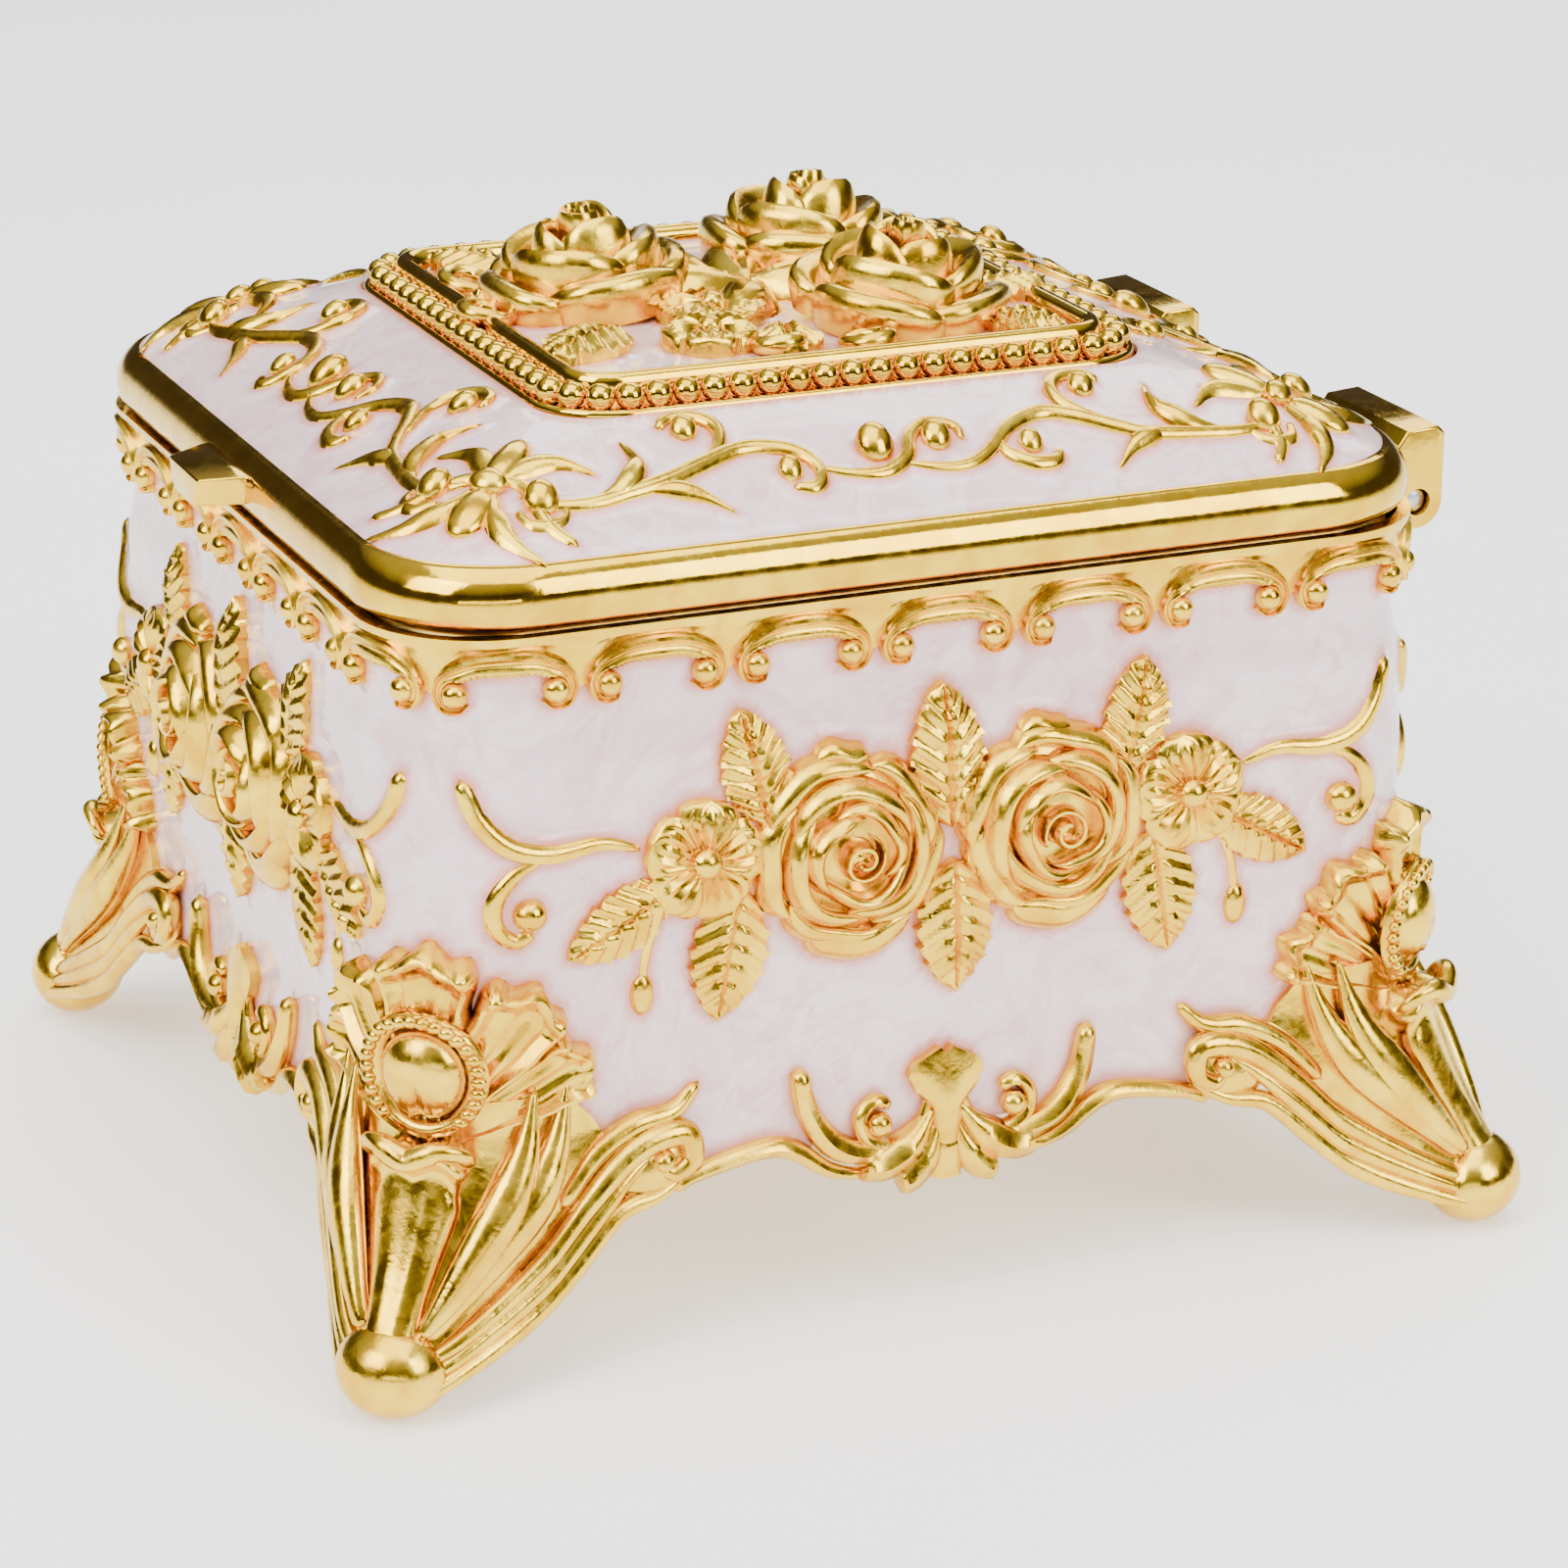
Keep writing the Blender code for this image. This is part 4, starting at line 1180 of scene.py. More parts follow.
@dataclass
class Palmette:
    """Drooping shell with a heart-shaped crown, volutes and horns at the middle of a bottom edge."""

    crown: tuple[Flat, ...] = ((12.4, 0.9), (15.6, 1.2), (17.4, 2.6), (18.4, 3.1), (19.2, 2.5), (20.2, 0.5))

    def heart(self) -> BMesh:
        """The crown."""
        low, high = self.crown[0][0], self.crown[-1][0]

        def shape(u: float, v: float) -> Vector:
            """Point of the surface at shares u and v."""
            q = 2 * u - 1
            y = mix(low, high, v)
            return Vector((q * along(self.crown, y), y + 0.5 * abs(q) * v,
                           1.2 + 0.75 * (1 - q * q) * math.sin(0.4 + 2.6 * v)))

        return backed(surface(12, 16, shape, weld=False), 0.0)

    def flat(self, reach: float) -> Casting:
        """The palmette and the edge moulding out to a distance from its middle."""
        cast = Casting()
        cast.add(self.heart())
        cast.add(stem([(0, 15.0), (0, 12.4), (0, 10.0)], 1.5, 0.4, 0.95, 0.5, 0.9))
        for points, thick, start, end in (
            ([(0.5, 15.2), (1.6, 12.6), (3.0, 10.9), (4.0, 10.6)], 1.35, 0.35, 0.95),
            ([(0.9, 16.2), (2.9, 13.6), (5.2, 12.2), (7.2, 12.3)], 1.5, 0.3, 0.9),
            ([(1.2, 17.4), (2.3, 14.4), (4.3, 13.4), (6.4, 14.2), (7.0, 16.0), (5.8, 17.2), (4.4, 16.6)], 0.62, 0.6,
             0.9),
            ([(3.0, 13.4), (6.6, 13.2), (9.4, 14.5), (11.2, 17.3), (11.9, 20.8)], 1.1, 0.5, 0.75),
            ([(6.6, 11.4), (9.6, 12.4), (12.4, 14.4), (15.0, 14.9), (reach - 1.6, 13.8), (reach, 12.8)], 0.85, 0.6,
             0.7),
        ):
            cast.both(lambda: stem(points, thick, start, end, 0.75, 1.1), (0, 0, 0))
        cast.both(lambda: bead(1.0, 14, 9), (5.5, 15.4, 0.95))
        return cast

    def build(self, side: Side) -> Casting:
        """The palmette of one side, in place."""
        reach = WALL.corner_middle(side) - 17.6
        return self.flat(reach).bent(WALL.on_side(side))


@dataclass
class Foot:
    """Corner foot: fan of petals, beaded cup, rolled tongue, flutes down to the toe, a side scroll each way."""

    splay_from: float = 20.0
    splay_to: float = 8.2
    toe: tuple[float, float, float] = (3.9, 4.3, 3.6)
    toe_at: Flat = (8.1, 3.6)
    toe_crease: float = 0.07
    fan_base: float = 19.0
    cup_at: float = 24.2
    boss: tuple[float, float, float] = (2.75, 3.6, 2.3)
    boss_rise: float = 1.9
    bead_ring: Flat = (3.45, 4.35)
    bead_radius: float = 0.5
    bead_count: int = 30
    bead_low: float = 20.9
    cord_ring: Flat = (3.4, 4.3)
    cord_radius: float = 0.62
    cord_steps: int = 32
    petals: tuple[tuple[float, float, float], ...] = (
        (90, 14.4, 6.8), (57, 13.4, 6.6), (123, 13.4, 6.6), (27, 12.6, 6.0), (153, 12.6, 6.0),
    )
    petal_widths: tuple[Flat, ...] = ((0.0, 0.3), (0.35, 0.5), (0.7, 0.85), (0.87, 1.0), (0.96, 0.92), (1.0, 0.74))
    leg_widths: tuple[Flat, ...] = ((3.0, 1.6), (5.0, 3.6), (7.0, 5.6), (9.0, 7.6), (12.0, 10.6), (14.5, 14.2),
                                    (16.5, 14.6),
                                    (18.5, 12.0), (22.0, 9.6))

    def splay(self, x: float, z: float) -> float:
        """How far the leg stands out from the wall's line, x along from the corner and at height z."""
        share = max(0.0, (self.splay_from - z) / (self.splay_from - 3.5))
        return self.splay_to * share**1.55 * (1 - 0.62 * smooth((abs(x) - 2.0) / 7.0))

    def scoop(self, length: float, width: float) -> BMesh:
        """One petal of the fan along +X: hollow between raised borders, with a rolled tip."""

        def shape(u: float, v: float) -> Vector:
            """Point of the surface at shares u and v."""
            q = 2 * v - 1
            half = width / 2 * along(self.petal_widths, u)
            rise = 1.45 + 0.62 * math.exp(-(((abs(q) - 0.76) / 0.17) ** 2)) - 1.0 * smooth((abs(q) - 0.86) / 0.14)
            rise -= (0.22 + 0.20 * math.cos(math.tau * 1.6 * q)) * smooth(3 * u) * (1 - smooth((abs(q) - 0.5) / 0.3))
            rise += 1.15 * math.exp(-(((u - 0.92) / 0.055) ** 2)) * (0.75 + 0.25 * math.cos(3.0 * q))
            rise -= 1.7 * smooth((u - 0.955) / 0.045)
            wave = 0.05 * length * math.cos(math.pi * 1.4 * q) * smooth((u - 0.55) / 0.45)
            return Vector((length * u + wave, q * half, rise))

        return backed(surface(40, 22, shape, weld=False), -0.7)

    def flute(self, points: Sequence[Sequence[float]], thick: float, start: float, end: float) -> BMesh:
        """Rib that flows down the leg; points hold the place along, the height and how far it stands out."""
        return rod(flowing(points, 6), swelling(thick, start, end), 12, 0.95)

    def web(self) -> BMesh:
        """Metal behind the ribs of the leg."""
        low, high = self.leg_widths[0][0], self.leg_widths[-1][0]

        def shape(u: float, v: float) -> Vector:
            """Point of the surface at shares u and v."""
            z = mix(low, high, v)
            q = 2 * u - 1
            return Vector((q * along(self.leg_widths, z), z, 0.8 + 0.9 * (1 - q * q)))

        sheet = surface(20, 24, shape, weld=False)
        bmesh.ops.solidify(sheet, geom=sheet.faces, thickness=1.5)
        return sheet

    def flat(self) -> Casting:
        """The foot, unbent."""
        cast = Casting()
        for k, (turn, length, width) in enumerate(self.petals):
            cast.add(self.scoop(length, width), (0, self.fan_base, 0.35 - 0.12 * k), turn)
        cast.add(self.web())
        for points, thick, start, end in (
            ([(9.6, 23.4, 0.9), (8.4, 19.0, 1.9), (6.3, 14.0, 2.3), (4.0, 9.4, 2.1), (2.3, 6.0, 1.6)], 1.45, 0.2, 0.45),
            ([(6.9, 23.0, 1.4), (6.0, 18.4, 2.6), (4.6, 13.2, 2.9), (3.1, 8.8, 2.5), (1.8, 6.2, 1.9)], 1.35, 0.2, 0.45),
            ([(20.0, 20.8, 0.3), (17.8, 18.9, 0.6), (14.6, 18.4, 0.8), (11.4, 16.6, 1.0), (8.8, 13.4, 1.2)], 0.95,
             0.55, 0.8),
            ([(16.6, 15.4, 0.9), (17.9, 14.6, 1.0), (19.2, 15.6, 1.1), (18.4, 17.5, 1.2), (14.8, 16.9, 1.3),
              (11.2, 13.9, 1.5), (7.8, 9.8, 1.6), (4.6, 6.2, 1.5), (2.2, 4.4, 1.0)], 1.05, 0.55, 0.55),
            ([(17.0, 16.4, 0.6), (14.6, 15.2, 1.0), (11.6, 12.3, 1.3), (8.0, 8.2, 1.4), (4.6, 4.9, 1.2),
              (2.4, 3.4, 0.8)],
             0.85, 0.4, 0.6),
            ([(18.8, 14.0, 0.5), (16.6, 13.0, 0.8), (13.6, 12.3, 0.9), (10.4, 9.0, 1.1), (6.8, 5.2, 1.0),
              (3.6, 2.9, 0.8),
              (2.2, 2.6, 0.6)], 0.9, 0.5, 0.6),
        ):
            cast.both(lambda: self.flute(points, thick, start, end))
        cast.both(lambda: bead(0.85, 12, 8), (16.9, 15.7, 1.3))
        cast.both(lambda: ball((3.5, 2.5, 1.0), 16, 8), (16.3, 15.1, 0.3))
        self.tongue(cast)
        self.cup(cast)
        return cast

    def tongue(self, cast: Casting) -> None:
        """The tongue down the middle of the leg, rolled over at its heart-shaped top."""

        def shape(u: float, v: float) -> Vector:
            """Point of the surface at shares u and v."""
            q = 2 * u - 1
            top = 18.9 + 0.6 * math.sin(math.pi * min(1.0, abs(q) * 1.2)) - 1.2 * abs(q) ** 4
            z = mix(top, 5.4, v)
            half = mix(3.0, 1.75, smooth(v * 1.1)) * (1 - 0.12 * math.exp(-(((v - 0.16) / 0.07) ** 2)))
            round_off = math.sqrt(max(0.0, 1 - 0.97 * q * q))
            lip = math.exp(-(((v - 0.055) / 0.055) ** 2))
            rise = 2.1 + 1.9 * round_off * mix(1.0, 0.8, v) + (1.5 + 0.5 * math.cos(math.tau * q)) * lip * round_off
            rise -= 2.6 * smooth((0.03 - v) / 0.03) * round_off + 0.35 * math.exp(-((q / 0.22) ** 2)) * (1 - v)
            return Vector((q * half, z, rise))

        cast.add(backed(surface(24, 60, shape, weld=False), 0.4))
        lip = [(-2.9, 17.6, 3.0), (-2.5, 18.9, 4.3), (-1.4, 19.5, 5.2), (0.0, 18.7, 5.2), (1.4, 19.5, 5.2),
               (2.5, 18.9, 4.3),
               (2.9, 17.6, 3.0)]
        cast.add(rod(flowing(lip, 6), swelling(0.85, 0.7, 0.7), 12))

    def cup(self, cast: Casting) -> None:
        """The oval boss, creased down the middle, and its ring of beads."""
        boss = ball(self.boss, 28, 18)
        for vert in boss.verts:
            if vert.co.z > 0:
                vert.co.z -= 0.5 * math.exp(-((vert.co.x / 0.35) ** 2)) * smooth((1.5 - vert.co.y) / 3)
        cast.add(boss, (0, self.cup_at, self.boss_rise))
        wide, tall = self.bead_ring
        for i in range(self.bead_count):
            turn = math.tau * i / self.bead_count
            x, y = wide * math.cos(turn), self.cup_at + tall * math.sin(turn)
            if y > self.bead_low:
                cast.add(bead(self.bead_radius, 8, 6), (x, y, 3.0))
        wide, tall = self.cord_ring
        turns = [math.tau * i / self.cord_steps for i in range(self.cord_steps + 1)]
        ring = [Vector((wide * math.cos(turn), self.cup_at + tall * math.sin(turn), 2.4)) for turn in turns]
        cast.add(rod(ring, lambda t: self.cord_radius, 8))

    def build(self, corner: Corner) -> Casting:
        """The foot at a corner, in place, with its toe."""
        cast = self.flat().bent(WALL.at_corner(corner, self.splay))
        sx, sy = corner.signs
        reach = (WALL.corner + self.toe_at[0]) / math.sqrt(2)
        centre = Vector((sx * (WALL.half_x - WALL.corner + reach), sy * (WALL.half_y - WALL.corner + reach),
                         self.toe_at[1]))
        toe = ball(self.toe, 32, 20)
        for vert in toe.verts:
            crease = math.exp(-(((vert.co.x + 0.5) / 0.5) ** 2)) if vert.co.z > 0.6 else 0.0
            vert.co *= 1 - self.toe_crease * crease
            vert.co.z = max(vert.co.z, -self.toe_at[1])
        cast.add(toe, centre, 45 + 90 * corner.value)
        return cast


@dataclass
class HingeBarrel:
    """Knuckle soldered to the back of the body, and the pin through it."""

    axis: Flat = (46.0, 54.2)
    radius: float = 2.2
    pin: float = 1.0
    half: float = 12.3
    pin_half: float = 26.5
    root: float = 43.2

    def build(self) -> tuple[Object, Object]:
        """The knuckle and the pin."""
        y, z = self.axis
        cast = Casting()
        outline: list[Flat] = []
        for i in range(25):
            turn = math.radians(-90 + 180 * i / 24)
            outline.append((y + self.radius * math.cos(turn), z + self.radius * math.sin(turn)))
        outline += [(self.root, z + self.radius), (self.root, z - self.radius)]
        rings = [[Vector((x, y0, z0)) for y0, z0 in outline] for x in (-self.half, self.half)]
        cast.bm = lofted(rings)
        ends = [e for e in cast.bm.edges if abs(e.verts[0].co.x - e.verts[1].co.x) < 1e-6]
        bmesh.ops.bevel(cast.bm, geom=ends, offset=0.25, offset_type="OFFSET", segments=3, profile=0.5,
                        affect="EDGES", material=-1)
        knuckle = cast.store("hinge_knuckle", BRIGHT_GOLD, "box", ["hinge_barrel"], outward=True)
        rod_cast = Casting()
        path = [(-self.pin_half, 0.0), (-self.pin_half + 0.02, 0.8), (-self.pin_half + 0.25, 1.0),
                (self.pin_half - 0.25, 1.0), (self.pin_half - 0.02, 0.8), (self.pin_half, 0.0)]

        def shape(u: float, v: float) -> Vector:
            """Point of the surface at shares u and v."""
            x, share = path[round(v * (len(path) - 1))]
            turn = math.tau * u
            return Vector((x, y + self.pin * share * math.cos(turn), z + self.pin * share * math.sin(turn)))

        rod_cast.bm = surface(28, len(path) - 1, shape)
        wire = rod_cast.store("hinge_pin_wire", STEEL, "box", ["hinge_pin"], outward=True)
        return knuckle, wire


@dataclass
class FloorPad:
    """Thin velvet pad on the floor of the box."""

    name: str = "floor_pad"
    shrink: float = 0.7
    quilt: float = 16.0
    seam: float = 0.7
    groove: float = 0.35
    rim: float = 0.35

    def build(self) -> Object:
        """The pad: crowned, with a rolled edge and quilting seams pressed in."""
        low, high = (Vector(c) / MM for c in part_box("floor_lining"))
        half_x, half_y = high.x - self.shrink, high.y - self.shrink
        base, top = low.z, high.z - 0.25

        def shape(u: float, v: float) -> Vector:
            """Point of the surface at shares u and v."""
            x, y = 2 * u - 1, 2 * v - 1
            edge = max(abs(x), abs(y))
            square = (abs(x) ** 8 + abs(y) ** 8) ** 0.125
            pull = edge / square if square else 1.0
            crown = math.sqrt(max(0.0, 1 - edge**14))
            wide = 1 - 0.012 * math.cos(math.pi * (y if abs(x) > abs(y) else x)) * edge**4
            sink = sum(math.exp(-(((x * half_x + s * y * half_y) % self.quilt - self.quilt / 2) / self.seam) ** 2)
                       for s in (1, -1))
            rise = mix(base + self.rim, top, crown) - self.groove * min(1.0, sink) * crown
            return Vector((x * half_x * pull * wide, y * half_y * pull * wide, rise))

        cast = Casting()
        cast.bm = backed(surface(100, 106, shape, weld=False), base)
        pad = cast.store(self.name, LINING, "box", ["floor_lining"], sharp=math.radians(80), outward=True)
        return pad


# --------------------------------------------------------------------------------------------------------------
# The lid
# --------------------------------------------------------------------------------------------------------------


def inside(x: float, y: float, half_x: float, half_y: float, radius: float) -> float:
    """Distance from a point to a rectangle with round corners, positive inside it."""
    qx, qy = abs(x) - (half_x - radius), abs(y) - (half_y - radius)
    return radius - math.hypot(max(qx, 0.0), max(qy, 0.0)) - min(max(qx, qy), 0.0)


@dataclass(frozen=True)
class Dome:
    """The sloping border of the lid, between the rim and the bead frame."""

    outer: tuple[float, float, float] = (38.2, 40.6, 9.4)
    inner: tuple[float, float, float] = (24.6, 24.6, 5.6)
    low: float = 61.3
    high: float = 67.4
    crown: float = 0.6

    def height(self, x: float, y: float) -> float:
        """Height of the enamel over a point in plan."""
        out, within = inside(x, y, *self.outer), -inside(x, y, *self.inner)
        share = out / (out + within) if out + within > 1e-6 else 0.0
        share = max(-0.05, min(1.0, share))
        return mix(self.low, self.high, share) + self.crown * math.sin(math.pi * max(0.0, share))

    def spans(self, side: Side) -> tuple[float, float, float]:
        """Distance of a side from the middle, half its length, and the plan depth of its slope."""
        x, y, _ = self.outer
        across, deep = (x, y) if side.value % 2 == 0 else (y, x)
        return across, deep, across - self.inner[0]

    def on_side(self, side: Side) -> Callable[[Vector], Vector]:
        """Rule that lays flat work on a side: x along it, y up the slope in plan, z out of it.

        The work is drawn for the right side, and is stretched to suit the others.
        """
        across, deep, slope = self.spans(side)
        stretch, climb = deep / self.outer[1], slope / (self.outer[0] - self.inner[0])

        def place(p: Vector) -> Vector:
            """A flat point, put in its place."""
            flat = side.matrix @ Vector((across - p.y * climb, p.x * stretch, 0))
            return Vector((flat.x, flat.y, self.height(flat.x, flat.y) + p.z))

        return place

    def at_corner(self, corner: Corner, at: Flat) -> Callable[[Vector], Vector]:
        """Rule that lays flat work on a corner, with +Y towards the middle of the lid."""
        sx, sy = corner.signs
        turned = Matrix.Rotation(math.radians(135 + 90 * corner.value), 3, "Z")

        def place(p: Vector) -> Vector:
            """A flat point, put in its place."""
            flat = Vector((sx * at[0], sy * at[1], 0)) + turned @ Vector((p.x, p.y, 0))
            return Vector((flat.x, flat.y, self.height(flat.x, flat.y) + p.z))

        return place


DOME = Dome()


@dataclass
class LidCasting:
    """The gilt lid: polished rim, hollow underside, and the metal beneath its enamel."""

    half_x: float = 39.8
    half_y: float = 42.2
    corner: float = 11.0
    bottom: float = 56.9
    skin: float = 0.8
    wall: float = 1.5
    panel_top: float = 68.6
    steps: int = 24

    def ring(self, inset: float, z: float) -> list[Vector]:
        """Ring of the rim's outline, moved in."""
        return rounded_ring(self.half_x - inset, self.half_y - inset, self.corner - 0.5 * inset, self.steps, z, 3)

    def slope(self, share: float, z: float) -> list[Vector]:
        """Ring part of the way from the rim to the bead frame."""
        sizes = [mix(a, b, share) for a, b in zip(DOME.outer, DOME.inner)]
        return rounded_ring(*sizes, self.steps, z, 3)

    def build(self) -> Object:
        """The casting."""
        low = self.bottom
        profile = ((0.95, low), (0.52, low + 0.12), (0.2, low + 0.5), (0.03, low + 1.1), (0.0, 58.6), (0.04, 59.2),
                   (0.2, 59.8),
                   (0.48, 60.4), (0.85, 60.9), (1.2, 61.2), (1.5, 61.38), (1.75, 61.36))
        rings = [self.ring(inset, z) for inset, z in profile]
        rings += [self.ring(1.9, 60.6), self.slope(0.3, 62.9), self.slope(0.7, 65.5), self.slope(1.0, 66.7)]
        top = self.panel_top - self.skin
        rings += [rounded_ring(20.5, 20.5, 4.5, self.steps, top, 3), rounded_ring(10, 10, 4.0, self.steps, top, 3)]
        under = [self.ring(1.3, low), self.ring(1.9, low), self.ring(2.35, low + 0.35), self.ring(2.4, low + 2.0),
                 self.ring(4.2, low + 3.4), self.slope(0.55, 61.7), self.slope(0.85, 64.0), self.slope(1.05, 65.2),
                 rounded_ring(18, 18, 4.0, self.steps, 65.5, 3)]
        cast = Casting()
        cast.bm = lofted([*reversed(under), *rings])
        return cast.store("lid_casting", BRIGHT_GOLD, "lid", ["lid_shell"], outward=True)


@dataclass
class LidEnamel:
    """Enamel on the lid: the sloping border and the panel inside the bead frame."""

    thick: float = 0.5
    panel_half: float = 20.6
    panel_top: float = 68.6
    pool: float = 0.3
    reach: float = 1.0

    def border(self, reliefs: Sequence[BVHTree]) -> Object:
        """The border, with a hand-painted edge along the rim."""
        rows, steps, straight = 38, 24, 100
        outline = rounded_ring(*DOME.outer, steps, 0, straight)
        inner = rounded_ring(*DOME.inner, steps, 0, straight)
        rings: list[list[Vector]] = []
        for row in range(rows + 1):
            share = row / rows
            ring: list[Vector] = []
            for i, (a, b) in enumerate(zip(outline, inner)):
                wobble = 0.011 * (math.sin(0.31 * i) + 0.6 * math.sin(0.83 * i + 1)) * (1 - share) ** 6
                p = a.lerp(b, max(0.0, share + wobble))
                lip = 0.28 * smooth(4.5 * min(share, 1 - share) * rows / 9) - 0.28
                ring.append(Vector((p.x, p.y, DOME.height(p.x, p.y) + lip)))
            rings.append(ring)
        back = [[Vector((p.x, p.y, p.z - self.thick)) for p in rings[k]] for k in (rows, rows // 2, 0)]
        cast = Casting()
        cast.bm = lofted([*rings, *back], loop=True)
        meet(cast.bm, reliefs, self.pool, self.reach, lambda p: Vector((0, 0, 1)))
        return cast.store("lid_border_glaze", ENAMEL, "lid", ["lid_border_enamel"], outward=True)

    def panel(self, reliefs: Sequence[BVHTree]) -> Object:
        """The panel, pillowed a little towards its middle."""
        half = self.panel_half

        def shape(u: float, v: float) -> Vector:
            """Point of the surface at shares u and v."""
            x, y = 2 * u - 1, 2 * v - 1
            edge = max(abs(x), abs(y))
            square = (abs(x) ** 9 + abs(y) ** 9) ** (1 / 9)
            pull = edge / square if square else 1.0
            return Vector((x * half * pull, y * half * pull, self.panel_top - 0.15 + 0.3 * (1 - edge**4)))

        cast = Casting()
        cast.bm = backed(surface(96, 96, shape, weld=False), self.panel_top - self.thick)
        meet(cast.bm, reliefs, self.pool, self.reach, lambda p: Vector((0, 0, 1)) if p.z > self.panel_top - 0.3
             else Vector((0, 0, 0)))
        return cast.store("lid_panel_glaze", ENAMEL, "lid", ["lid_panel_enamel"], outward=True)


@dataclass
class BeadFrame:
    """Square frame on the lid: flange, bead row and polished ridge."""

    half: float = 23.2
    corner: float = 5.0
    bead_size: float = 1.1
    pitch: float = 2.16
    bead_z: float = 68.35
    section: tuple[Flat, ...] = (
        (1.38, 66.6), (1.38, 67.35), (1.28, 67.62), (1.1, 67.72), (0.9, 67.66), (0.7, 67.55), (0.3, 67.5), (-0.6, 67.6),
        (-1.02, 67.8), (-1.14, 68.5), (-1.2, 69.1), (-1.36, 69.5), (-1.62, 69.76), (-1.95, 69.82), (-2.28, 69.7),
        (-2.6, 69.35), (-2.78, 68.9), (-2.9, 68.3), (-2.9, 67.9),
    )

    def build(self) -> Casting:
        """The frame and its beads."""
        cast = Casting()
        rings = [rounded_ring(self.half + d, self.half + d, max(1.5, self.corner + d), 14, z, 2)
                 for d, z in self.section]
        cast.add(lofted(rings, loop=True))
        path = rounded_ring(self.half, self.half, self.corner, 16, self.bead_z, 40)
        lengths = [(b - a).length for a, b in zip(path, [*path[1:], path[0]])]
        total = sum(lengths)
        count = 4 * round(total / self.pitch / 4)
        walked, index = 0.0, 0
        for i in range(count):
            goal = total * (i + 0.5) / count
            while walked + lengths[index] < goal:
                walked += lengths[index]
                index += 1
            spot = path[index].lerp(path[(index + 1) % len(path)], (goal - walked) / lengths[index])
            cast.add(bead(self.bead_size, 14, 10), spot)
        return cast


@dataclass
class BorderScroll:
    """Scrolls along one side of the lid, drawn for the right side: x along, y up the slope."""

    left: tuple[tuple[tuple[Flat, ...], float, float, float], ...] = (
        (((-30.2, 6.6), (-28.2, 4.9), (-25.3, 4.4), (-22.4, 4.8), (-19.3, 5.4), (-16.0, 6.6), (-12.7, 7.7), (-9.9, 7.4),
          (-8.1, 6.2), (-7.6, 4.4), (-8.6, 3.3), (-10.2, 3.7)), 0.62, 0.7, 0.8),
        (((-25.2, 4.5), (-22.6, 5.2), (-20.8, 7.4), (-21.1, 10.3)), 0.95, 0.35, 0.2),
        (((-16.4, 6.4), (-14.2, 8.2), (-13.5, 10.2), (-14.6, 11.8), (-16.6, 12.0), (-17.8, 11.0)), 0.62, 0.6, 0.7),
        (((-21.2, 4.9), (-19.2, 4.5), (-17.2, 3.7), (-15.2, 2.0)), 0.72, 0.3, 0.2),
    )
    middle: tuple[tuple[tuple[Flat, ...], float, float, float], ...] = (
        (((-7.9, 5.2), (-5.2, 4.2), (-2.6, 4.0), (-0.5, 5.2), (0.5, 7.0), (2.4, 8.4), (4.3, 7.7), (4.4, 6.2)), 0.58,
         0.5, 0.6),
        (((-1.2, 4.8), (1.5, 3.9), (4.1, 3.9), (6.4, 5.1), (8.6, 7.0), (11.5, 8.0), (14.1, 7.2), (16.8, 5.7),
          (19.4, 4.7),
          (25.5, 4.3), (28.4, 4.9), (30.4, 6.8)), 0.62, 0.5, 0.7),
        (((7.2, 6.2), (7.2, 4.6), (8.6, 3.3), (10.6, 3.2), (11.4, 4.2)), 0.58, 0.6, 0.7),
    )
    beads: tuple[tuple[float, float, float], ...] = (
        (-9.8, 5.1, 0.95), (-16.0, 10.4, 1.05), (-2.6, 6.4, 1.45), (2.4, 6.6, 1.15), (9.4, 5.1, 0.95),
        (16.0, 10.4, 1.05),
    )

    def flat(self) -> Casting:
        """The scrolls, unbent."""
        cast = Casting()
        for points, thick, start, end in self.left:
            cast.add(stem(points, thick, start, end, 0.22, 1.1))
        for points, thick, start, end in self.left[1:]:
            cast.add(stem([(-x, y) for x, y in points], thick, start, end, 0.22, 1.1))
        for points, thick, start, end in self.middle:
            cast.add(stem(points, thick, start, end, 0.22, 1.1))
        for x, y, radius in self.beads:
            cast.add(bead(radius, 16, 10), (x, y, 0.35 * radius))
        return cast

    def build(self, side: Side) -> Casting:
        """The scrolls of one side, in place."""
        return self.flat().bent(DOME.on_side(side))


